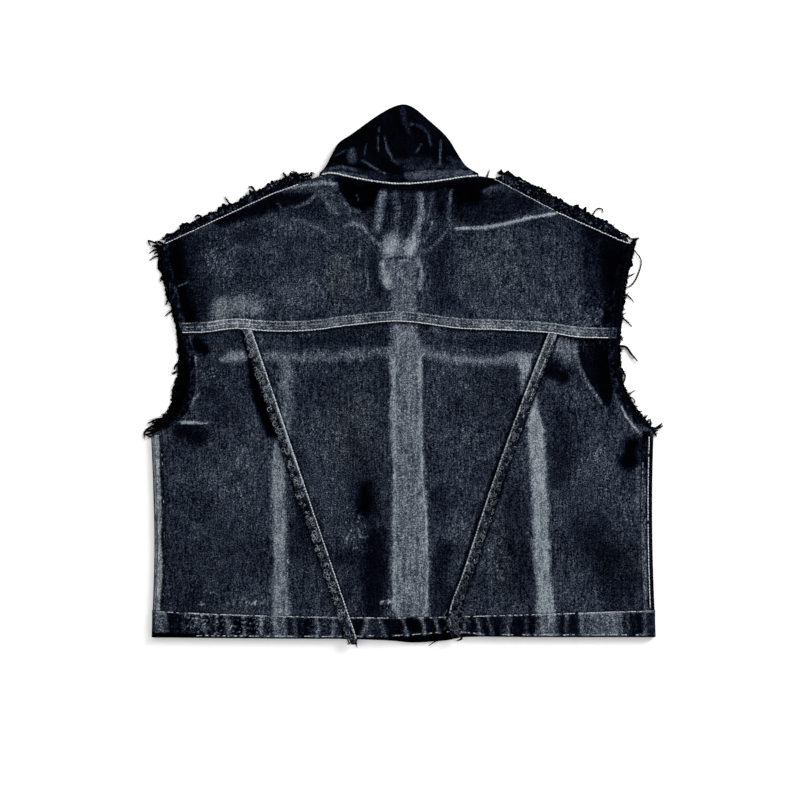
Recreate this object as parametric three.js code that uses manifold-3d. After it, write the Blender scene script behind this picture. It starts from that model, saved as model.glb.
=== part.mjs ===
import * as THREE from "three";
import { mergeVertices } from "three/addons/utils/BufferGeometryUtils.js";
import Module from "manifold-3d";

// A cropped denim vest with raw, frayed edges and a raised collar, laid flat on its front.
// Units are millimetres. +X runs to the right across the back, +Y from the hem to the collar,
// and +Z up from the table. The origin is on the table, under the placket at about mid length.

const wasm = await Module();
wasm.setup();

// Cloth thicknesses and the clearance at every seam.
const PLY = 1.5; // one ply of heavy denim
const BAND_PLY = 2.2; // waistband and collar: folded double and pressed
const STRIP_PLY = 1.2; // a seam band lying on a panel
const SEAM_GAP = 0.3;
const HALF_GAP = SEAM_GAP / 2;

// Heights of the back layer's outer face above the table.
const BACK_HEIGHT = 5.6;
const SIDE_FOOT = PLY + 0.4; // where the back turns down onto the front at the side seams
const SIDE_RADIUS = BACK_HEIGHT - SIDE_FOOT;
const BAND_HEIGHT = 7; // the back of the waistband
const BAND_RIDGE = 1.8;
const BAND_FOOT = BAND_PLY + 0.4;
const NECK_HEIGHT = 7.4;
const PLACKET_RIDGE = 3.2; // how far the placket presses the back up
const ARMHOLE_DROP = 1.2; // how far the back falls to its raw edges
const COLLAR_FOLD_HEIGHT = 7.4; // the raised collar where its sides turn down
const COLLAR_EDGE_HEIGHT = 3.6; // and at its free top edge
const COLLAR_EDGE_FOOT = 1;
const COLLAR_BULGE = 3;
const SHOULDER_BAND = { low: 0.6, high: 3.6 }; // both plies of the raw shoulder pressed together
const FRONT_FRAY = { low: 0.2, high: 1.4 };
const YARN = 1.15; // thickness of a loose strand at its root

// Widths of the made-up seams.
const YOKE_BAND = 12;
const STRIP_WIDTH = 10.4;
const STAND_WIDTH = 12;
const SIDE_SEAM_INSET = 4.2;
const SIDE_SEAM_WIDTH = 8.8;
const FRAY_ROOT = 2.2; // width of the narrow strip that holds the loose yarns

// The front closing.
const PLACKET_CENTRE = 5;
const PLACKET_HALF = 22;
const PLACKET_LEFT = PLACKET_CENTRE - PLACKET_HALF;
const PLACKET_RIGHT = PLACKET_CENTRE + PLACKET_HALF;
const BUTTON_RADIUS = 8.5;
const BUTTON_HEIGHT = 2.2;
const BUTTON_PITCH = 75.6;
const LOWEST_BUTTON = -262;
const BUTTON_COUNT = 6;
const FRONT_NECK_DROP = 84;

const DENIM = new THREE.MeshStandardMaterial({ color: 0x14171f, roughness: 0.92, metalness: 0 });
const WORN = new THREE.MeshStandardMaterial({ color: 0x2b3039, roughness: 0.94, metalness: 0 });
const FRAY = new THREE.MeshStandardMaterial({ color: 0x0b0c10, roughness: 1, metalness: 0 });
const METAL = new THREE.MeshStandardMaterial({ color: 0x3a3c40, roughness: 0.4, metalness: 0.9 });

// Seams that run across the garment: y at each x.
const YOKE_SEAM = [
  { x: -250, y: 46 }, { x: -218, y: 46.5 }, { x: -185, y: 50.4 }, { x: -146, y: 47.6 },
  { x: -103, y: 48.4 }, { x: -59, y: 54 }, { x: -4, y: 58.3 }, { x: 62, y: 50.6 },
  { x: 106, y: 49 }, { x: 161, y: 45.7 }, { x: 192, y: 41 }, { x: 240, y: 40 },
];
const WAIST_SEAM = [
  { x: -278, y: -259 }, { x: -190, y: -263 }, { x: -80, y: -265.7 }, { x: 0, y: -266.2 },
  { x: 62, y: -265 }, { x: 172, y: -261.8 }, { x: 278, y: -258.5 },
];
const BACK_HEM = [
  { x: -278, y: -288.5 }, { x: -90, y: -290 }, { x: -13, y: -288.8 }, { x: 20, y: -287 },
  { x: 56, y: -284.5 }, { x: 90, y: -287.6 }, { x: 278, y: -288.3 },
];
const FRONT_HEM = [
  { x: -278, y: -288.2 }, { x: -80, y: -290.5 }, { x: -13, y: -292.5 }, { x: 10, y: -294.5 },
  { x: 45, y: -292.5 }, { x: 70, y: -288.5 }, { x: 278, y: -288 },
];
const SHOULDER_LEFT = [
  { x: -272, y: 141 }, { x: -200, y: 174.4 }, { x: -145, y: 200 }, { x: -94, y: 218.5 },
];
const NECK_SEAM = [
  { x: -94, y: 218.5 }, { x: -80, y: 221 }, { x: -50, y: 215 }, { x: -10, y: 209.5 },
  { x: 26, y: 211 }, { x: 66, y: 216.8 }, { x: 84, y: 219 },
];
const SHOULDER_RIGHT = [
  { x: 84, y: 219 }, { x: 100, y: 216.6 }, { x: 172, y: 178.6 }, { x: 256, y: 141.5 },
];
const COLLAR_TOP = [
  { x: -95, y: 220 }, { x: -86, y: 229.5 }, { x: -79, y: 243 }, { x: -72, y: 255 },
  { x: -57, y: 265.8 }, { x: -24, y: 289 }, { x: -4, y: 298 }, { x: 9, y: 296 },
  { x: 27, y: 281.8 }, { x: 49, y: 261 }, { x: 61, y: 241.5 }, { x: 69, y: 230.5 },
  { x: 85, y: 220.5 },
];

// Edges that run up the garment: x at each y. The side seam ends at the underarm.
const LEFT = {
  name: "left",
  sign: -1,
  side: [{ y: -290, x: -277.5 }, { y: -200, x: -274.5 }, { y: -130, x: -275.5 }, { y: -66, x: -278 }],
  backArmhole: [
    { y: -66, x: -278 }, { y: -57, x: -262 }, { y: -42, x: -245 }, { y: -12, x: -235 },
    { y: 20, x: -237 }, { y: 60, x: -248 }, { y: 105, x: -260 }, { y: 143.5, x: -266 },
  ],
  frontArmhole: [
    { y: -66, x: -278 }, { y: -54, x: -268 }, { y: -38, x: -257 }, { y: -12, x: -250 },
    { y: 20, x: -247 }, { y: 50, x: -249 }, { y: 80, x: -256 }, { y: 112, x: -265.5 },
    { y: 143.5, x: -270 },
  ],
  stripSeam: [{ y: -300, x: -47.2 }, { y: 60, x: -170 }],
};
const RIGHT = {
  name: "right",
  sign: 1,
  side: [{ y: -290, x: 277.8 }, { y: -200, x: 274.6 }, { y: -130, x: 274 }, { y: -62, x: 275.4 }],
  backArmhole: [
    { y: -62, x: 275.4 }, { y: -53, x: 262 }, { y: -40, x: 251 }, { y: -18, x: 239 },
    { y: 8, x: 233.5 }, { y: 45, x: 234.5 }, { y: 85, x: 238.5 }, { y: 118, x: 243 },
    { y: 143.5, x: 250 },
  ],
  frontArmhole: [
    { y: -62, x: 275.4 }, { y: -50, x: 266 }, { y: -35, x: 253.5 }, { y: -12, x: 242 },
    { y: 15, x: 237.6 }, { y: 50, x: 238.4 }, { y: 90, x: 243 }, { y: 120, x: 248 },
    { y: 143.5, x: 254 },
  ],
  stripSeam: [
    { y: -300, x: 52 }, { y: -262, x: 49.5 }, { y: -217, x: 65 }, { y: -118, x: 97.5 },
    { y: -25, x: 131 }, { y: 60, x: 164.5 },
  ],
};

// Folds raised in the back layer: the middle of the crest, its heading, half length, half width, height.
const FOLDS = [
  { x: -31, y: 178, heading: 82, reach: 30, width: 6, height: 2.2 },
  { x: -12, y: 172, heading: 90, reach: 34, width: 5, height: 2 },
  { x: 14, y: 170, heading: 77, reach: 38, width: 6.5, height: 3 },
  { x: 30, y: 176, heading: 80, reach: 26, width: 5, height: 1.8 },
  { x: 44, y: 178, heading: 90, reach: 24, width: 5, height: 1.2 },
  { x: -52, y: 158, heading: -52, reach: 30, width: 6, height: 1.6 },
  { x: 50, y: 152, heading: 42, reach: 30, width: 6, height: 1.4 },
  { x: 118, y: 172, heading: 9, reach: 52, width: 6, height: 2 },
  { x: -70, y: 190, heading: -58, reach: 26, width: 8, height: 1.6 },
  { x: -150, y: 170, heading: 24, reach: 46, width: 12, height: 0.9 },
  { x: -232, y: -49, heading: -4, reach: 18, width: 6, height: 1 },
  { x: 203, y: 2, heading: -62, reach: 40, width: 9, height: 1.6 },
  { x: -210, y: 14, heading: 80, reach: 40, width: 14, height: 1 },
  { x: -205, y: -170, heading: 70, reach: 70, width: 26, height: 1 },
  { x: 200, y: -150, heading: 108, reach: 80, width: 28, height: 1.1 },
  { x: -40, y: -110, heading: 96, reach: 90, width: 24, height: 0.8 },
  { x: 78, y: 96, heading: 100, reach: 50, width: 22, height: 0.9 },
  { x: -112, y: 104, heading: 62, reach: 60, width: 24, height: 0.9 },
];
const COLLAR_FOLDS = [
  { x: -22, y: 245, heading: 98, reach: 16, width: 5, height: 1.4 },
  { x: -50, y: 236, heading: -28, reach: 22, width: 6, height: 1.2 },
  { x: 28, y: 246, heading: 70, reach: 20, width: 6, height: 1.5 },
  { x: 54, y: 234, heading: 90, reach: 14, width: 4, height: 1.2 },
  { x: 2, y: 276, heading: -72, reach: 18, width: 6, height: 1 },
];

const { clamp, degToRad, lerp } = THREE.MathUtils;

// Hermite curve through a table's rows, as a function of its key column.
function curveThrough(table, key, value) {
  const keys = table.map((row) => row[key]);
  const values = table.map((row) => row[value]);
  const last = keys.length - 1;
  const slopes = keys.map((_, i) => {
    const before = Math.max(i - 1, 0);
    const after = Math.min(i + 1, last);
    return (values[after] - values[before]) / (keys[after] - keys[before]);
  });
  return (at) => {
    const k = clamp(at, keys[0], keys[last]);
    let i = 0;
    while (i < last - 1 && k > keys[i + 1]) i += 1;
    const span = keys[i + 1] - keys[i];
    const t = (k - keys[i]) / span;
    const rise = t * t * (3 - 2 * t);
    const start = t * (1 - t) * (1 - t) * slopes[i];
    const end = t * t * (t - 1) * slopes[i + 1];
    return lerp(values[i], values[i + 1], rise) + span * (start + end);
  };
}

// Straight runs between a table's rows, for the seams that are sewn straight.
function straightThrough(table) {
  return (x) => {
    const last = table.length - 1;
    let i = 0;
    while (i < last - 1 && x > table[i + 1].x) i += 1;
    const share = (x - table[i].x) / (table[i + 1].x - table[i].x);
    return lerp(table[i].y, table[i + 1].y, share);
  };
}

const smooth = (value, low, high) => THREE.MathUtils.smoothstep(value, low, high);

const yokeSeam = curveThrough(YOKE_SEAM, "x", "y");
const waistSeam = curveThrough(WAIST_SEAM, "x", "y");
const backHem = curveThrough(BACK_HEM, "x", "y");
const frontHem = curveThrough(FRONT_HEM, "x", "y");
const shoulderLeft = straightThrough(SHOULDER_LEFT);
const shoulderRight = straightThrough(SHOULDER_RIGHT);
const neckSeam = curveThrough(NECK_SEAM, "x", "y");
const collarTop = curveThrough(COLLAR_TOP, "x", "y");
const NECK_LEFT = NECK_SEAM[0].x;
const NECK_RIGHT = NECK_SEAM[NECK_SEAM.length - 1].x;

for (const side of [LEFT, RIGHT]) {
  side.sideX = curveThrough(side.side, "y", "x");
  side.backArmholeX = curveThrough(side.backArmhole, "y", "x");
  side.frontArmholeX = curveThrough(side.frontArmhole, "y", "x");
  side.stripX = curveThrough(side.stripSeam, "y", "x");
  side.underarm = side.backArmhole[0].y;
  side.shoulderTip = side.backArmhole[side.backArmhole.length - 1].y;
  side.backEdge = (y) => (y < side.underarm ? side.sideX(y) : side.backArmholeX(y));
  side.frontEdge = (y) => (y < side.underarm ? side.sideX(y) : side.frontArmholeX(y));
  side.shoulder = side.sign < 0 ? shoulderLeft : shoulderRight;
}

// The top of the yoke: left shoulder, back neck, right shoulder.
function yokeTop(x) {
  if (x < NECK_LEFT) return shoulderLeft(x);
  if (x > NECK_RIGHT) return shoulderRight(x);
  return neckSeam(x);
}

// The front neckline: a rounded drop from each neck point, level across the placket.
function frontNeck(x) {
  const share = x < PLACKET_CENTRE
    ? (PLACKET_LEFT - x) / (PLACKET_LEFT - NECK_LEFT)
    : (x - PLACKET_RIGHT) / (NECK_RIGHT - PLACKET_RIGHT);
  return NECK_SEAM[0].y - FRONT_NECK_DROP * (1 - clamp(share, 0, 1) ** 2.2);
}

function frontTop(x) {
  return x < NECK_LEFT || x > NECK_RIGHT ? yokeTop(x) : frontNeck(x);
}

// A fold is a crest with a bell-shaped section that dies away towards both ends.
function foldsAt(folds, x, y) {
  return folds.reduce((sum, fold) => {
    const turn = degToRad(fold.heading);
    const along = (x - fold.x) * Math.cos(turn) + (y - fold.y) * Math.sin(turn);
    const across = (y - fold.y) * Math.cos(turn) - (x - fold.x) * Math.sin(turn);
    const ends = 1 - smooth(Math.abs(along), fold.reach * 0.45, fold.reach);
    return sum + fold.height * ends * Math.exp(-((across / fold.width) ** 2));
  }, 0);
}

// Height of the back layer's outer face: a low even lift, long waves, the placket pressing
// through, folds, the rise to the waistband and the neck, and the fall to raw edges.
function backHeight(x, y) {
  const side = x < 0 ? LEFT : RIGHT;
  const fromEdge = Math.abs(side.backEdge(y)) - Math.abs(x);
  const fromShoulder = x < NECK_LEFT || x > NECK_RIGHT ? yokeTop(x) - y : Infinity;
  const calm = smooth(fromEdge, 4, 40) * smooth(fromShoulder, 4, 40) * smooth(y, -255, -215);
  const waves = 0.35 * Math.sin(x / 43 + 0.7) * Math.sin(y / 57 + 0.4)
    + 0.3 * Math.sin(x / 71 - y / 64);
  const acrossPlacket = smooth(x, PLACKET_LEFT - 26, PLACKET_LEFT + 2)
    * (1 - smooth(x, PLACKET_RIGHT - 2, PLACKET_RIGHT + 26));
  const placket = PLACKET_RIDGE * acrossPlacket * (1 - smooth(y, 128, 168));
  const neck = (NECK_HEIGHT - BACK_HEIGHT) * smooth(y, 165, 212)
    * smooth(x, NECK_LEFT - 20, NECK_LEFT + 30) * (1 - smooth(x, NECK_RIGHT - 30, NECK_RIGHT + 20));
  const waist = (bandHeight(x) - BACK_HEIGHT - placket) * (1 - smooth(y, -268, -254));
  const edges = 1 - smooth(fromEdge, 0, 28) + 1 - smooth(fromShoulder, 0, 24);
  const drop = ARMHOLE_DROP * Math.min(edges, 1) * smooth(y, side.underarm, side.underarm + 14);
  return BACK_HEIGHT + calm * (waves + foldsAt(FOLDS, x, y)) + placket + neck + waist - drop;
}

// The waistband's outer face, with the small puckers that its stitching draws up.
function bandHeight(x) {
  const overPlacket = smooth(x, PLACKET_LEFT - 30, PLACKET_LEFT)
    * (1 - smooth(x, PLACKET_RIGHT, PLACKET_RIGHT + 30));
  return BAND_HEIGHT + BAND_RIDGE * overPlacket;
}

// A closed wall from two grids of points of one size, the outer one seen from above.
function wall(stations) {
  const rows = stations.length;
  const columns = stations[0].length;
  const points = ["outer", "inner"].flatMap((face) => stations.flat().map((s) => s[face]));
  const at = (layer, row, column) => (layer * rows + row) * columns + column;
  const faces = [];
  const quad = (a, b, c, d) => faces.push(a, b, c, a, c, d);
  for (let r = 0; r < rows - 1; r += 1) {
    for (let c = 0; c < columns - 1; c += 1) {
      quad(at(0, r, c), at(0, r, c + 1), at(0, r + 1, c + 1), at(0, r + 1, c));
      quad(at(1, r, c), at(1, r + 1, c), at(1, r + 1, c + 1), at(1, r, c + 1));
    }
  }
  const rim = [];
  for (let c = 0; c < columns - 1; c += 1) rim.push([0, c]);
  for (let r = 0; r < rows - 1; r += 1) rim.push([r, columns - 1]);
  for (let c = columns - 1; c > 0; c -= 1) rim.push([rows - 1, c]);
  for (let r = rows - 1; r > 0; r -= 1) rim.push([r, 0]);
  rim.forEach(([r, c], i) => {
    const [nextR, nextC] = rim[(i + 1) % rim.length];
    quad(at(0, r, c), at(1, r, c), at(1, nextR, nextC), at(0, nextR, nextC));
  });
  const geometry = new THREE.BufferGeometry();
  geometry.setAttribute("position", new THREE.Float32BufferAttribute(points.flat(), 3));
  geometry.setIndex(faces);
  return geometry;
}

// A station is one place on a wall: its point on the outer face and its point on the inner face.
const station = (x, y, top, bottom) => ({ outer: [x, y, top], inner: [x, y, bottom] });

const onBack = (x, y, ply = PLY) => {
  const z = backHeight(x, y);
  return station(x, y, z, z - ply);
};

// A band that lies on the back layer, made from the layer's own points moved out.
const overBack = (x, y, ply = STRIP_PLY, lift = SEAM_GAP) => {
  const z = backHeight(x, y) + lift;
  return station(x, y, z + ply, z);
};

// A station where the wall turns down in a quarter circle: turn 0 is upright, 90 is flat.
function rolled(edge, inward, turn, flat, foot, ply) {
  const radius = flat - foot;
  const [c, s] = [Math.cos(degToRad(turn)), Math.sin(degToRad(turn))];
  const place = (r) => [
    edge.x + inward.x * (radius - r * c),
    edge.y + inward.y * (radius - r * c),
    foot + r * s,
  ];
  return { outer: place(radius), inner: place(radius - ply) };
}

// A point at a share of the way from one cross seam to another, on a line that runs up the cloth.
function pointAt(share, bottom, top, lineX) {
  let x = lineX(0);
  let y = lerp(bottom(x), top(x), share);
  for (let i = 0; i < 12; i += 1) {
    x = lineX(y);
    y = lerp(bottom(x), top(x), share);
  }
  return { x, y };
}

// Even steps from one value up to, and without, another.
const steps = (from, to, count) => Array.from({ length: count }, (_, i) => lerp(from, to, i / count));

function mesh(name, geometry, material) {
  const made = new THREE.Mesh(geometry, material);
  made.name = name;
  return made;
}

const ROLL_TURNS = [0, 30, 60, 90];

// The yoke runs from the yoke seam to the shoulders and the back neck.
const YOKE_COLUMNS = [
  ...steps(-200, -145, 4), ...steps(-145, NECK_LEFT, 4), ...steps(NECK_LEFT, -62, 2),
  ...steps(-62, 66, 18), 66, NECK_RIGHT, ...steps(100, 172, 4), 172, 184, 196,
];
const YOKE_LINES = [
  ...[0, 13, 30].map((inset) => (y) => LEFT.backArmholeX(y) + inset),
  ...YOKE_COLUMNS.map((x) => () => x),
  ...[27, 13, 0].map((inset) => (y) => RIGHT.backArmholeX(y) - inset),
];
const yokeBottom = (x) => yokeSeam(x) + HALF_GAP;
const yokeBandTop = (x) => yokeSeam(x) + YOKE_BAND;
const yokeUpper = (x) => yokeTop(x) - HALF_GAP;

const YOKE_ROWS = [
  ...[0, 1].map((share) => YOKE_LINES.map((line) => pointAt(share, yokeBottom, yokeBandTop, line))),
  ...[...steps(0, 1, 9).slice(1), 1].map((share) => YOKE_LINES.map(
    (line) => pointAt(share, yokeBandTop, yokeUpper, line),
  )),
];

const yoke = () => wall(YOKE_ROWS.map((row) => row.map(({ x, y }) => onBack(x, y))));
const yokeBand = () => wall(YOKE_ROWS.slice(0, 2).map((row) => row.map(({ x, y }) => overBack(x, y))));

// The lower back is a tapering centre panel between two side panels.
const lowerBottom = (x) => waistSeam(x) + HALF_GAP;
const lowerTop = (x) => yokeSeam(x) - HALF_GAP;

const CENTRE_COLUMNS = [-42, -28, -14, 5, 24, 36];
const CENTRE_SHARES = [0.2, 0.4, 0.6, 0.8, 1];

function backCentre() {
  const towards = (side, column) => (share) => (y) => lerp(
    column, side.stripX(y) - side.sign * HALF_GAP, share,
  );
  const lines = [
    ...CENTRE_SHARES.toReversed().map(towards(LEFT, CENTRE_COLUMNS[0])),
    ...CENTRE_COLUMNS.map((x) => () => x),
    ...CENTRE_SHARES.map(towards(RIGHT, CENTRE_COLUMNS.at(-1))),
  ];
  const shares = [...steps(0, 1, 14), 1];
  return wall(shares.map((share) => lines.map((line) => {
    const { x, y } = pointAt(share, lowerBottom, lowerTop, line);
    return onBack(x, y);
  })));
}

// Shares of the way up a side panel: below the underarm, then closer rows round the armhole.
const BACK_RISE = [0, 0.05, 0.1, 0.16, 0.26, 0.42, 0.6, 0.8, 1];
const FRONT_RISE = [0, 0.03, 0.06, 0.1, 0.16, 0.28, 0.44, 0.62, 0.8, 0.94, 1];

function sideShares(side, bottom, top, edge, rise = BACK_RISE) {
  const x = edge(side.underarm);
  const corner = (side.underarm - bottom(x)) / (top(x) - bottom(x));
  const lower = steps(0, corner, 8);
  const upper = rise.map((share) => lerp(corner, 1, share));
  return { lower, upper, all: [...lower, ...upper] };
}

function backSide(side) {
  const inward = -side.sign;
  const { lower, all } = sideShares(side, lowerBottom, lowerTop, side.backEdge);
  const insets = ROLL_TURNS.map((turn) => SIDE_RADIUS * (1 - Math.cos(degToRad(turn))));
  const outerLine = SIDE_SEAM_INSET + SIDE_SEAM_WIDTH;
  const innerLine = STRIP_WIDTH + FRAY_ROOT + SEAM_GAP;
  const lines = [
    ...insets.map((inset) => (y) => side.backEdge(y) + inward * inset),
    (y) => side.backEdge(y) + inward * outerLine,
    ...[0.2, 0.4, 0.6, 0.8].map((share) => (y) => lerp(
      side.backEdge(y) + inward * outerLine, side.stripX(y) + side.sign * innerLine, share,
    )),
    ...[innerLine, STRIP_WIDTH, HALF_GAP].map((inset) => (y) => side.stripX(y) + side.sign * inset),
  ];
  const rows = all.map((share, row) => lines.map((line, column) => {
    const { x, y } = pointAt(share, lowerBottom, lowerTop, line);
    const turns = row <= lower.length && column < ROLL_TURNS.length;
    if (!turns) return onBack(x, y);
    const edge = { x: side.backEdge(y), y };
    return rolled(edge, { x: inward, y: 0 }, ROLL_TURNS[column], backHeight(x, y), SIDE_FOOT, PLY);
  }));
  return wall(side.sign < 0 ? rows : rows.map((row) => row.toReversed()));
}

// A felled side seam lies on the side panel, just inside the fold.
function sideSeam(side) {
  const { lower } = sideShares(side, lowerBottom, lowerTop, side.backEdge);
  const insets = [SIDE_SEAM_INSET, SIDE_SEAM_INSET + SIDE_SEAM_WIDTH - SEAM_GAP];
  const rows = lower.map((share) => insets.map((inset) => {
    const { x, y } = pointAt(share, lowerBottom, lowerTop, (at) => side.backEdge(at) - side.sign * inset);
    return overBack(x, y);
  }));
  return wall(side.sign < 0 ? rows : rows.map((row) => row.toReversed()));
}

// The exposed allowance of each slanting seam: down the side panel, over the waistband, past the hem.
const STRIP_TIP = { left: -296, right: -286.5 };
const BAND_STEP = 1; // extra lift where the strip crosses the waistband's puckers

function stripRows(side, insets) {
  const { all } = sideShares(side, lowerBottom, lowerTop, side.backEdge);
  const upper = all.map((share) => insets.map((inset) => pointAt(
    share, lowerBottom, lowerTop, (y) => side.stripX(y) + side.sign * inset,
  )));
  const tip = STRIP_TIP[side.name];
  const end = WAIST_SEAM[3].y - 2;
  const lower = [tip, (tip + end) / 2, end].map((y, row) => insets.map((inset) => {
    const narrowed = lerp(inset, STRIP_WIDTH / 2, row ? 0 : 0.35);
    return { x: side.stripX(y) + side.sign * narrowed, y };
  }));
  return { lower, upper };
}

const stripLift = (y) => SEAM_GAP + BAND_STEP * (1 - smooth(y, -264, -246));

function rawStrip(side) {
  const insets = [HALF_GAP, STRIP_WIDTH / 2, STRIP_WIDTH - HALF_GAP];
  const { lower, upper } = stripRows(side, insets);
  const rows = [...lower, ...upper].map((row) => row.map(({ x, y }) => overBack(x, y, PLY, stripLift(y))));
  return wall(side.sign > 0 ? rows : rows.map((row) => row.toReversed()));
}

// The waistband behind, puckered by its stitching and turned down onto the front band at both sides.
const PUCKERS = 18;
const PUCKER_HEIGHT = 0.35;
const BAND_CROWN = 0.4;

function waistbandBack() {
  const reach = 266;
  const columns = Array.from({ length: 2 * PUCKERS + 1 }, (_, i) => lerp(-reach, reach, i / (2 * PUCKERS)));
  const shares = [0, 0.5, 1];
  const ends = (side, share) => ROLL_TURNS.map((turn) => {
    const y = lerp(backHem(side.sign * 278), waistSeam(side.sign * 278) - HALF_GAP, share);
    const edge = { x: side.sideX(y), y };
    return rolled(edge, { x: -side.sign, y: 0 }, turn, BAND_HEIGHT, BAND_FOOT, BAND_PLY);
  });
  return wall(shares.map((share) => [
    ...ends(LEFT, share),
    ...columns.map((x, i) => {
      const y = lerp(backHem(x), waistSeam(x) - HALF_GAP, share);
      const pucker = i % 2 ? PUCKER_HEIGHT : -PUCKER_HEIGHT;
      const crown = 4 * BAND_CROWN * share * (1 - share);
      const z = bandHeight(x) + crown + pucker;
      return station(x, y, z, z - BAND_PLY);
    }),
    ...ends(RIGHT, share).toReversed(),
  ]));
}

// Everything that lies on the table has a flat underside at height 0.
const onTable = (x, y, ply) => station(x, y, ply, 0);

const FRONT_COLUMNS = { left: [-200, -145], right: [194, 172, 136, 100] };
const frontBottom = (x) => waistSeam(x) + HALF_GAP;
const frontUpper = (x) => frontTop(x) - HALF_GAP;
const NECK_SHARES = [0, 0.1, 0.22, 0.36, 0.52, 0.72, 1];

function frontPanel(side) {
  const placketEdge = side.sign < 0 ? PLACKET_LEFT : PLACKET_RIGHT;
  const neckPoint = side.sign < 0 ? NECK_LEFT : NECK_RIGHT;
  const inward = -side.sign;
  const { all } = sideShares(side, frontBottom, frontUpper, side.frontEdge, FRONT_RISE);
  const lines = [
    ...[0, 14, 34].map((inset) => (y) => side.frontEdge(y) + inward * inset),
    ...FRONT_COLUMNS[side.name].map((x) => () => x),
    ...NECK_SHARES.map((share) => () => lerp(neckPoint, placketEdge + side.sign * SEAM_GAP, share)),
  ];
  const rows = all.map((share) => lines.map((line) => {
    const { x, y } = pointAt(share, frontBottom, frontUpper, line);
    return onTable(x, y, PLY);
  }));
  return wall(side.sign < 0 ? rows : rows.map((row) => row.toReversed()));
}

function waistbandFront(side) {
  const placketEdge = side.sign < 0 ? PLACKET_LEFT : PLACKET_RIGHT;
  const columns = steps(side.sideX(-275), placketEdge + side.sign * SEAM_GAP, 10);
  columns.push(placketEdge + side.sign * SEAM_GAP);
  const rows = [0, 1].map((share) => columns.map((x) => onTable(
    x, lerp(frontHem(x), waistSeam(x) - HALF_GAP, share), BAND_PLY,
  )));
  return wall(side.sign < 0 ? rows : rows.map((row) => row.toReversed()));
}

// The placket lies on its buttons: round each one the cloth is lifted to a level top.
const BUTTONS = Array.from({ length: BUTTON_COUNT }, (_, i) => LOWEST_BUTTON + i * BUTTON_PITCH);
const BUTTON_LEVEL = 9.2;
const BUTTON_SLOPE = 16;

function placketLift(x, y) {
  const nearest = Math.min(...BUTTONS.map((button) => Math.abs(y - button)));
  const away = Math.max(Math.abs(x - PLACKET_CENTRE), nearest);
  const down = clamp((away - BUTTON_LEVEL) / (BUTTON_SLOPE - BUTTON_LEVEL), 0, 1);
  return (BUTTON_HEIGHT + SEAM_GAP) * (1 - down);
}

function placketGrid(bottomOf, topOf) {
  const around = [-BUTTON_SLOPE, -BUTTON_LEVEL, BUTTON_LEVEL, BUTTON_SLOPE];
  const heights = BUTTONS.flatMap((y) => around.map((offset) => y + offset));
  const xs = [-PLACKET_HALF, ...around, PLACKET_HALF].map((offset) => PLACKET_CENTRE + offset);
  const place = (y) => xs.map((x) => station(x, y, topOf(x, y), bottomOf(x, y)));
  const end = (yOf) => xs.map((x) => station(x, yOf(x), topOf(x, yOf(x)), bottomOf(x, yOf(x))));
  return wall([end(frontHem), ...heights.map(place), end((x) => frontNeck(x) - HALF_GAP)]);
}

const placket = () => placketGrid(placketLift, (x, y) => placketLift(x, y) + PLY);

const buttonBand = () => placketGrid(
  (x, y) => placketLift(x, y) + PLY + SEAM_GAP,
  (x, y) => placketLift(x, y) + 2 * PLY + SEAM_GAP,
);

// A shank button lying face down: a flat-topped cap with a rounded rim.
function button(y) {
  const profile = [
    [0, 0], [BUTTON_RADIUS - 1.4, 0], [BUTTON_RADIUS - 0.3, 0.6], [BUTTON_RADIUS, 1.2],
    [BUTTON_RADIUS - 0.4, BUTTON_HEIGHT], [0, BUTTON_HEIGHT],
  ].map(([r, z]) => new THREE.Vector2(r, z));
  const geometry = new THREE.LatheGeometry(profile, 16);
  geometry.rotateX(Math.PI / 2);
  geometry.translate(PLACKET_CENTRE, y, 0);
  return geometry;
}

// The raised collar: a doubled leaf with its sides folded down onto the front collar
// and its free top edge lying on the table.
const COLLAR_FOLD_LEFT = -72;
const COLLAR_FOLD_RIGHT = 61;

const collarFree = (x) => smooth(x, COLLAR_FOLD_LEFT - 4, COLLAR_FOLD_LEFT + 18)
  * (1 - smooth(x, COLLAR_FOLD_RIGHT - 16, COLLAR_FOLD_RIGHT + 4));

function collarEdge(x) {
  const free = collarFree(x);
  return {
    foot: lerp(BAND_FOOT, COLLAR_EDGE_FOOT, free),
    height: lerp(COLLAR_FOLD_HEIGHT, COLLAR_EDGE_HEIGHT, free),
  };
}

function collarHeight(x, y) {
  const share = clamp((y - neckSeam(x)) / (collarTop(x) - neckSeam(x)), 0, 1);
  const edge = collarEdge(x);
  const seamHeight = backHeight(x, neckSeam(x)) + 0.4;
  const bulge = COLLAR_BULGE * share * (1 - share) * smooth(collarTop(x) - neckSeam(x), 10, 60);
  const calm = smooth(share, 0.05, 0.3) * (1 - smooth(share, 0.7, 0.95));
  return lerp(seamHeight, edge.height, smooth(share, 0, 1)) + bulge + calm * foldsAt(COLLAR_FOLDS, x, y);
}

const standTop = (x) => Math.min(STAND_WIDTH, 0.45 * (collarTop(x) - neckSeam(x)));
const COLLAR_INSET = 1.5;
const COLLAR_COLUMNS = [
  ...steps(NECK_LEFT + COLLAR_INSET, COLLAR_FOLD_LEFT, 4),
  ...steps(COLLAR_FOLD_LEFT, COLLAR_FOLD_RIGHT, 18),
  ...steps(COLLAR_FOLD_RIGHT, NECK_RIGHT - COLLAR_INSET, 4), NECK_RIGHT - COLLAR_INSET,
];

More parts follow.
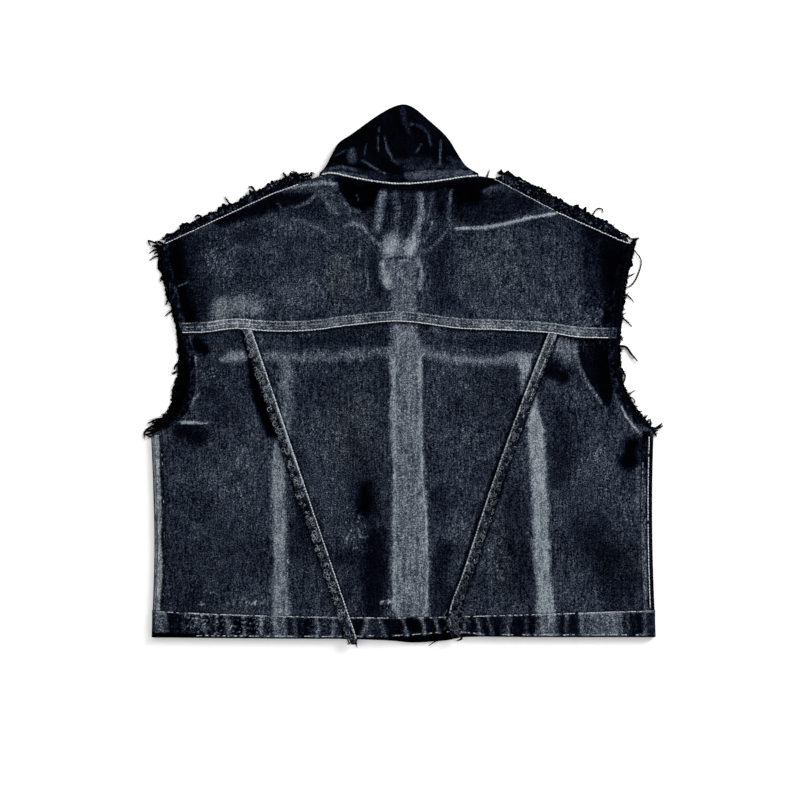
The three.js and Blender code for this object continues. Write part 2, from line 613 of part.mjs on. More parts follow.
function collarBack() {
  const shares = [0, 0.2, 0.4, 0.6, 0.8];
  const columns = COLLAR_COLUMNS.map((x) => {
    const seam = neckSeam(x) + HALF_GAP;
    const standEnd = seam + standTop(x);
    const { foot, height } = collarEdge(x);
    const length = collarTop(x) - standEnd;
    const radius = Math.min(height - foot, 0.8 * length);
    const rollStart = collarTop(x) - radius;
    const flat = [seam, ...shares.map((share) => lerp(standEnd, rollStart, share))].map((y) => {
      const z = collarHeight(x, y);
      return station(x, y, z, z - BAND_PLY);
    });
    const turned = ROLL_TURNS.toReversed().map((turn) => {
      const made = rolled({ x, y: collarTop(x) }, { x: 0, y: -1 }, turn, height, foot, BAND_PLY);
      const squeeze = radius / (height - foot);
      for (const face of [made.outer, made.inner]) {
        face[1] = collarTop(x) - (collarTop(x) - face[1]) * squeeze;
      }
      return made;
    });
    return [...flat, ...turned];
  });
  return wall(columns[0].map((_, row) => columns.map((column) => column[row])));
}

function collarStand() {
  const columns = COLLAR_COLUMNS.filter((x) => x > -82 && x < 72);
  return wall([0, 1].map((share) => columns.map((x) => {
    const y = neckSeam(x) + HALF_GAP + share * (standTop(x) - 0.2);
    const z = collarHeight(x, y) + SEAM_GAP;
    return station(x, y, z + STRIP_PLY, z);
  })));
}

// The front collar closes under the chin, so its top edge dips between the side folds.
const FRONT_COLLAR_DIP = 224;
const COLLAR_CLEAR = 9; // it stays this far inside the free top edge behind

function frontCollarTop(x) {
  const middle = (COLLAR_FOLD_LEFT + COLLAR_FOLD_RIGHT) / 2;
  const share = Math.abs(x - middle) / ((COLLAR_FOLD_RIGHT - COLLAR_FOLD_LEFT) / 2);
  return Math.min(collarTop(x) - COLLAR_CLEAR * collarFree(x), FRONT_COLLAR_DIP + 26 * share ** 2);
}

function collarFront(side) {
  const [neckPoint, placketEdge] = side.sign < 0 ? [NECK_LEFT, PLACKET_LEFT] : [NECK_RIGHT, PLACKET_RIGHT];
  const columns = [
    ...NECK_SHARES.map((share) => lerp(neckPoint, placketEdge + side.sign * SEAM_GAP, share)),
    PLACKET_CENTRE + side.sign * HALF_GAP,
  ];
  columns[0] -= side.sign * COLLAR_INSET;
  const rows = [0, 0.25, 0.5, 0.75, 1].map((share) => columns.map((x) => onTable(
    x, lerp(frontNeck(x) + HALF_GAP, frontCollarTop(x), share), BAND_PLY,
  )));
  return wall(side.sign < 0 ? rows : rows.map((row) => row.toReversed()));
}

// The raw shoulder allowance outside its stitch line: its width at places from the tip to the neck.
const RAW_SHOULDER = {
  left: [
    { x: -263, width: 4.5 }, { x: -242, width: 6.5 }, { x: -222, width: 8 }, { x: -200, width: 6.5 },
    { x: -172, width: 7 }, { x: -145, width: 9 }, { x: -116, width: 9.5 }, { x: -103, width: 7 },
  ],
  right: [
    { x: 247, width: 5.5 }, { x: 232, width: 8 }, { x: 214, width: 10.5 }, { x: 196, width: 11 },
    { x: 172, width: 11.5 }, { x: 148, width: 12.5 }, { x: 124, width: 12 }, { x: 101, width: 7 },
  ],
};

function shoulderLine(side) {
  return RAW_SHOULDER[side.name].map(({ x, width }) => {
    const y = side.shoulder(x);
    const slope = (side.shoulder(x + 1) - side.shoulder(x - 1)) / 2;
    const length = Math.hypot(1, slope);
    return { x, y, out: { x: -slope / length, y: 1 / length }, width };
  });
}

function rawShoulder(side) {
  const line = shoulderLine(side);
  const rows = [0, 1].map((share) => line.map(({ x, y, out, width }) => {
    const distance = lerp(HALF_GAP, width, share);
    return station(x + out.x * distance, y + out.y * distance, SHOULDER_BAND.high, SHOULDER_BAND.low);
  }));
  return wall(side.sign < 0 ? rows : rows.map((row) => row.toReversed()));
}

// A repeatable value from 0 to 1 for each loose yarn.
function chance(seed) {
  const value = Math.sin(seed * 127.1 + 311.7) * 43758.5453;
  return value - Math.floor(value);
}

function solidOf(geometry) {
  const merged = mergeVertices(geometry, 1e-4);
  return new wasm.Manifold(new wasm.Mesh({
    numProp: 3,
    vertProperties: merged.attributes.position.array,
    triVerts: new Uint32Array(merged.index.array),
  }));
}

function geometryOf(solid) {
  const made = solid.getMesh();
  const geometry = new THREE.BufferGeometry();
  geometry.setAttribute("position", new THREE.BufferAttribute(new Float32Array(made.vertProperties), 3));
  geometry.setIndex(new THREE.BufferAttribute(new Uint32Array(made.triVerts), 1));
  return geometry;
}

// One loose yarn end: a three-sided taper from its root, through a bend, to a point.
function yarn(root, bend, tip, thickness) {
  const axis = new THREE.Vector3().subVectors(tip, root).normalize();
  const across = new THREE.Vector3().crossVectors(axis, new THREE.Vector3(0, 0, 1)).normalize();
  const up = new THREE.Vector3().crossVectors(across, axis);
  const ring = (centre, radius) => [90, 210, 330].map((turn) => centre.clone()
    .addScaledVector(across, radius * Math.cos(degToRad(turn)))
    .addScaledVector(up, radius * Math.sin(degToRad(turn))));
  const points = [...ring(root, thickness / 2), ...ring(bend, thickness / 2.6), tip];
  const faces = [0, 1, 2];
  for (let i = 0; i < 3; i += 1) {
    const next = (i + 1) % 3;
    faces.push(i, i + 3, next + 3, i, next + 3, next, i + 3, 6, next + 3);
  }
  const geometry = new THREE.BufferGeometry();
  const coordinates = points.flatMap((point) => point.toArray());
  geometry.setAttribute("position", new THREE.Float32BufferAttribute(coordinates, 3));
  geometry.setIndex(faces);
  return geometry;
}

// A frayed edge: a narrow strip beside the raw edge, with yarns fused into it by their roots.
// The line's places have a point, an outward direction, and the strip's low and high faces.
function frayedEdge(line, { count, reach, seed, floor, start = HALF_GAP * 2, leftward }) {
  const rows = [start, start + FRAY_ROOT].map((distance) => line.map((place) => station(
    place.x + place.out.x * distance, place.y + place.out.y * distance, place.high, place.low,
  )));
  const backing = wall(leftward ? rows.map((row) => row.toReversed()) : rows);
  let solid = solidOf(backing);
  for (let i = 0; i < count; i += 1) {
    const at = ((i + 0.5 + 0.5 * (chance(seed + i) - 0.5)) / count) * (line.length - 1);
    const [a, b] = [line[Math.floor(at)], line[Math.ceil(at)]];
    const mix = (pick) => lerp(pick(a), pick(b), at - Math.floor(at));
    const out = new THREE.Vector3(mix((p) => p.out.x), mix((p) => p.out.y), 0).normalize();
    const along = new THREE.Vector3(-out.y, out.x, 0);
    const lean = 0.9 * (chance(seed + i + 40.5) - 0.5);
    const length = lerp(reach[0], reach[1], chance(seed + i + 80.25) ** 2);
    const height = (mix((p) => p.low) + mix((p) => p.high)) / 2;
    const root = new THREE.Vector3(mix((p) => p.x), mix((p) => p.y), height)
      .addScaledVector(out, start + FRAY_ROOT / 2);
    const reached = (far, aside) => root.clone()
      .addScaledVector(out, far * length)
      .addScaledVector(along, aside * lean * length);
    const tip = reached(1, 1.6);
    tip.z = Math.max(floor, height - 0.5 * chance(seed + i + 120.75));
    solid = solid.add(solidOf(yarn(root, reached(0.55, 0.5), tip, YARN)));
  }
  return geometryOf(solid);
}

// Places along an armhole at the panels' own edge points, short of the underarm and the shoulder.
function armholeLine(points, edgeX, side, low, high) {
  return points.slice(1, -1).map(({ x, y }) => {
    const slope = edgeX(y + 0.5) - edgeX(y - 0.5);
    const length = Math.hypot(1, slope);
    const out = { x: side.sign / length, y: (-side.sign * slope) / length };
    return { x, y, out, low: low(x, y), high: high(x, y) };
  });
}

function backArmholeFray(side, seed) {
  const clear = PLY + SEAM_GAP + 0.1;
  const { lower, all } = sideShares(side, lowerBottom, lowerTop, side.backEdge);
  const points = [
    ...all.slice(lower.length).map((share) => pointAt(share, lowerBottom, lowerTop, side.backEdge)),
    ...YOKE_ROWS.map((row) => (side.sign < 0 ? row[0] : row[row.length - 1])),
  ];
  const low = (x, y) => Math.max(backHeight(x, y) - PLY, clear);
  const line = armholeLine(points, side.backArmholeX, side, low, (x, y) => low(x, y) + 1.3);
  return frayedEdge(line, {
    count: 28, reach: [3.5, 8], seed, floor: clear + 0.3, leftward: side.sign > 0,
  });
}

function frontArmholeFray(side, seed) {
  const { lower, all } = sideShares(side, frontBottom, frontUpper, side.frontEdge, FRONT_RISE);
  const points = all.slice(lower.length).map(
    (share) => pointAt(share, frontBottom, frontUpper, side.frontEdge),
  );
  const line = armholeLine(points, side.frontArmholeX, side, () => FRONT_FRAY.low, () => FRONT_FRAY.high);
  return frayedEdge(line, { count: 26, reach: [3.5, 11], seed, floor: 0.6, leftward: side.sign > 0 });
}

function shoulderFray(side, seed) {
  const line = shoulderLine(side).map(({ x, y, out, width }) => ({
    x: x + out.x * width, y: y + out.y * width, out, low: 0.9, high: 2.9,
  }));
  return frayedEdge(line, { count: 24, reach: [3, 7], seed, floor: 0.6, leftward: side.sign > 0 });
}

function stripFray(side, seed) {
  const { lower, upper } = stripRows(side, [STRIP_WIDTH]);
  const places = [lower[1], lower[2], ...upper.filter((_, i) => i % 2 === 0)].flat();
  const line = places.map(({ x, y }) => {
    const slope = (side.stripX(y + 2) - side.stripX(y - 2)) / 4;
    const length = Math.hypot(1, slope);
    const z = backHeight(x, y) + stripLift(y) + 0.25;
    const out = { x: side.sign / length, y: (-side.sign * slope) / length };
    return { x, y, out, low: z, high: z + 1 };
  });
  return frayedEdge(line, {
    count: 26, reach: [2.6, 5], seed, floor: BACK_HEIGHT + 0.8, start: 0.15, leftward: side.sign > 0,
  });
}

const vest = new THREE.Group();
vest.add(mesh("back_yoke", yoke(), DENIM));
vest.add(mesh("yoke_seam_band", yokeBand(), WORN));
vest.add(mesh("back_centre", backCentre(), DENIM));
vest.add(mesh("waistband_back", waistbandBack(), WORN));
vest.add(mesh("collar_back", collarBack(), DENIM));
vest.add(mesh("collar_stand", collarStand(), WORN));
vest.add(mesh("placket", placket(), DENIM));
vest.add(mesh("button_band", buttonBand(), DENIM));
BUTTONS.forEach((y, i) => vest.add(mesh(`button_${i + 1}`, button(y), METAL)));
[LEFT, RIGHT].forEach((side, i) => {
  const seed = 1000 * (i + 1);
  vest.add(mesh(`back_side_${side.name}`, backSide(side), DENIM));
  vest.add(mesh(`side_seam_${side.name}`, sideSeam(side), WORN));
  vest.add(mesh(`raw_strip_${side.name}`, rawStrip(side), WORN));
  vest.add(mesh(`front_${side.name}`, frontPanel(side), DENIM));
  vest.add(mesh(`waistband_front_${side.name}`, waistbandFront(side), DENIM));
  vest.add(mesh(`collar_front_${side.name}`, collarFront(side), DENIM));
  vest.add(mesh(`raw_shoulder_${side.name}`, rawShoulder(side), FRAY));
  vest.add(mesh(`fray_shoulder_${side.name}`, shoulderFray(side, seed + 100), FRAY));
  vest.add(mesh(`fray_back_armhole_${side.name}`, backArmholeFray(side, seed + 200), FRAY));
  vest.add(mesh(`fray_front_armhole_${side.name}`, frontArmholeFray(side, seed + 400), FRAY));
  vest.add(mesh(`fray_strip_${side.name}`, stripFray(side, seed + 600), FRAY));
});

export default vest;
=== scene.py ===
"""A cropped denim vest with raw, frayed edges and a raised collar, laid flat on its front.

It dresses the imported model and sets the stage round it. The tables are in millimetres in the
model's own frame: +X to the right across the back, +Y from the hem to the collar, +Z up.
"""
from types import SimpleNamespace

import bpy
import numpy as np
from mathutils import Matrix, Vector


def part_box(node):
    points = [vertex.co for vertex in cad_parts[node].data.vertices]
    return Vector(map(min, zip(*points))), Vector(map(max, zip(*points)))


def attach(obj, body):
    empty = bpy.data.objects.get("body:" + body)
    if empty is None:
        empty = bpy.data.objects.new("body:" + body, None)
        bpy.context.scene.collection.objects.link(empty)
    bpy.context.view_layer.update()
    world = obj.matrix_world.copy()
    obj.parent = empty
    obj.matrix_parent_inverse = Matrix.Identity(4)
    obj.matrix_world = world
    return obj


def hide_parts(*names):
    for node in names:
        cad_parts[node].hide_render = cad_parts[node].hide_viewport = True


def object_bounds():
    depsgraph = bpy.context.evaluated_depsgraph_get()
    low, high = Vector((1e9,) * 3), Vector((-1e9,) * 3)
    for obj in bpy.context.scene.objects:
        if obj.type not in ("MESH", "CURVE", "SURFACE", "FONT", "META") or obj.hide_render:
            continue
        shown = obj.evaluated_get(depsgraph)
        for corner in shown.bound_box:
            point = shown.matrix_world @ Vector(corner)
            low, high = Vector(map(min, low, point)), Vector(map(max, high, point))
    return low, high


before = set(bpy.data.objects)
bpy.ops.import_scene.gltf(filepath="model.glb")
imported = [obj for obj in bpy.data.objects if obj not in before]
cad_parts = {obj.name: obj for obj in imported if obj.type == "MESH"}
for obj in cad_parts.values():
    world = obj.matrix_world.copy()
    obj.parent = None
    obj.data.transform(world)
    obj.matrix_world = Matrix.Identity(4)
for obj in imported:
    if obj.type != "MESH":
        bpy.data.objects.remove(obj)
CAD_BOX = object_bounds()

bl_info = {
    "name": "Frayed denim vest",
    "version": (1, 0, 0),
    "blender": (4, 5, 0),
    "location": "3D View > Sidebar > Vest",
    "description": "Cloth, sewing and loose yarns of a cropped denim vest",
    "category": "Add Mesh",
}

MM = 0.001

# Cloth thicknesses and clearances.
PLY = 1.5
BAND_PLY = 2.2
STRIP_PLY = 1.2
SEAM_GAP = 0.3
HALF_GAP = SEAM_GAP / 2
ON_TABLE = 0.02

# Heights of the back layer's outer face above the table.
BACK_HEIGHT = 5.6
SIDE_FOOT = PLY + 0.4
BAND_HEIGHT = 7
BAND_RIDGE = 1.8
BAND_FOOT = BAND_PLY + 0.4
NECK_HEIGHT = 7.4
PLACKET_RIDGE = 3.2
ARMHOLE_DROP = 1.2
COLLAR_FOLD_HEIGHT = 7.4
COLLAR_EDGE_HEIGHT = 3.6
COLLAR_EDGE_FOOT = 1
COLLAR_BULGE = 3
SHOULDER_LOW = 0.6
SHOULDER_HIGH = 3.6

# Widths of the made-up seams and the front closing.
HEM_HALF = 278.0
YOKE_BAND = 12
STRIP_WIDTH = 10.4
STAND_WIDTH = 12
SIDE_SEAM_INSET = 4.2
SIDE_SEAM_WIDTH = 8.8
FRAY_ROOT = 2.2
RAW_BAND = 6.5
PLACKET_CENTRE = 5
PLACKET_HALF = 22
PLACKET_LEFT = PLACKET_CENTRE - PLACKET_HALF
PLACKET_RIGHT = PLACKET_CENTRE + PLACKET_HALF
BUTTON_HEIGHT = 2.2
BUTTON_LEVEL = 9.2
BUTTON_SLOPE = 16
LOWEST_BUTTON = -262
BUTTON_PITCH = 75.6
BUTTON_COUNT = 6
BUTTONS = [LOWEST_BUTTON + BUTTON_PITCH * i for i in range(BUTTON_COUNT)]

# Levels at which the panels' points start, and how often x and y are then settled together.
PANEL_LOW = -260.0
PANEL_HIGH = 200.0
SIDE_PANEL_HIGH = 45.0
SETTLING_ROUNDS = 14

# Stitch rows, by how far each lies from its seam or edge.
YOKE_STITCHES = (0.9, 6.5, 10.7)
SHOULDER_STITCH = 0.9
NECK_STITCHES = (0.5, 1.1)
STRIP_STITCHES = (1.2, 8.4)
SIDE_STITCHES = (1.1, 7.3)
PLACKET_STITCH = 19
STITCH_POINTS = 6

# Corners round a yarn, a longest yarn, a stitch and a raw edge's ribbon.
YARN_SIDES = 3
LONG_SIDES = 4
STITCH_SIDES = 4
RIBBON_SIDES = 4
FRONT_NECK_DROP = 84
COLLAR_FOLD_LEFT = -72
COLLAR_FOLD_RIGHT = 61
COLLAR_INSET = 1.5
FRONT_COLLAR_DIP = 224
COLLAR_CLEAR = 9

# Seams and edges that run across the garment: x, y.
YOKE_SEAM = (
    (-250, 46), (-218, 46.5), (-185, 50.4), (-146, 47.6), (-103, 48.4), (-59, 54),
    (-4, 58.3), (62, 50.6), (106, 49), (161, 45.7), (192, 41), (240, 40),
)
WAIST_SEAM = (
    (-278, -259), (-190, -263), (-80, -265.7), (0, -266.2), (62, -265), (172, -261.8), (278, -258.5),
)
BACK_HEM = (
    (-278, -288.5), (-90, -290), (-13, -288.8), (20, -287), (56, -284.5), (90, -287.6), (278, -288.3),
)
FRONT_HEM = (
    (-278, -288.2), (-80, -290.5), (-13, -292.5), (10, -294.5), (45, -292.5), (70, -288.5), (278, -288),
)
SHOULDER_LEFT = ((-272, 141), (-200, 174.4), (-145, 200), (-94, 218.5))
SHOULDER_RIGHT = ((84, 219), (100, 216.6), (172, 178.6), (256, 141.5))
NECK_SEAM = ((-94, 218.5), (-80, 221), (-50, 215), (-10, 209.5), (26, 211), (66, 216.8), (84, 219))
COLLAR_TOP = (
    (-95, 220), (-86, 229.5), (-79, 243), (-72, 255), (-57, 265.8), (-24, 289), (-4, 298),
    (9, 296), (27, 281.8), (49, 261), (61, 241.5), (69, 230.5), (85, 220.5),
)

# Edges that run up the garment: y, x.
SIDE_LEFT = ((-290, -277.5), (-200, -274.5), (-130, -275.5), (-66, -278))
SIDE_RIGHT = ((-290, 277.8), (-200, 274.6), (-130, 274), (-62, 275.4))
BACK_ARMHOLE_LEFT = (
    (-66, -278), (-57, -262), (-42, -245), (-12, -235), (20, -237), (60, -248), (105, -260), (143.5, -266),
)
BACK_ARMHOLE_RIGHT = (
    (-62, 275.4), (-53, 262), (-40, 251), (-18, 239), (8, 233.5), (45, 234.5), (85, 238.5),
    (118, 243), (143.5, 250),
)
FRONT_ARMHOLE_LEFT = (
    (-66, -278), (-54, -268), (-38, -257), (-12, -250), (20, -247), (50, -249), (80, -256),
    (112, -265.5), (143.5, -270),
)
FRONT_ARMHOLE_RIGHT = (
    (-62, 275.4), (-50, 266), (-35, 253.5), (-12, 242), (15, 237.6), (50, 238.4), (90, 243),
    (120, 248), (143.5, 254),
)
STRIP_SEAM_LEFT = ((-300, -47.2), (60, -170))
STRIP_SEAM_RIGHT = ((-300, 52), (-262, 49.5), (-217, 65), (-118, 97.5), (-25, 131), (60, 164.5))

# Raw shoulder allowance: x along the shoulder, from the tip to the neck, and its width there.
RAW_SHOULDER_LEFT = (
    (-263, 4.5), (-242, 6.5), (-222, 8), (-200, 6.5), (-172, 7), (-145, 9), (-116, 9.5), (-103, 7),
)
RAW_SHOULDER_RIGHT = (
    (101, 7), (124, 12), (148, 12.5), (172, 11.5), (196, 11), (214, 10.5), (232, 8), (247, 5.5),
)

# Folds raised in the back layer: x, y of the crest's middle, heading, half length, half width, height.
FOLDS = (
    (-31, 178, 82, 30, 6, 2.2), (-12, 172, 90, 34, 5, 2), (14, 170, 77, 38, 6.5, 3),
    (30, 176, 80, 26, 5, 1.8), (44, 178, 90, 24, 5, 1.2), (-52, 158, -52, 30, 6, 1.6),
    (50, 152, 42, 30, 6, 1.4), (118, 172, 9, 52, 6, 2), (-70, 190, -58, 26, 8, 1.6),
    (-150, 170, 24, 46, 12, 0.9), (-232, -49, -4, 18, 6, 1), (203, 2, -62, 40, 9, 1.6),
    (-210, 14, 80, 40, 14, 1), (-205, -170, 70, 70, 26, 1), (200, -150, 108, 80, 28, 1.1),
    (-40, -110, 96, 90, 24, 0.8), (78, 96, 100, 50, 22, 0.9), (-112, 104, 62, 60, 24, 0.9),
)
COLLAR_FOLDS = (
    (-22, 245, 98, 16, 5, 1.4), (-50, 236, -28, 22, 6, 1.2), (28, 246, 70, 20, 6, 1.5),
    (54, 234, 90, 14, 4, 1.2), (2, 276, -72, 18, 6, 1),
)

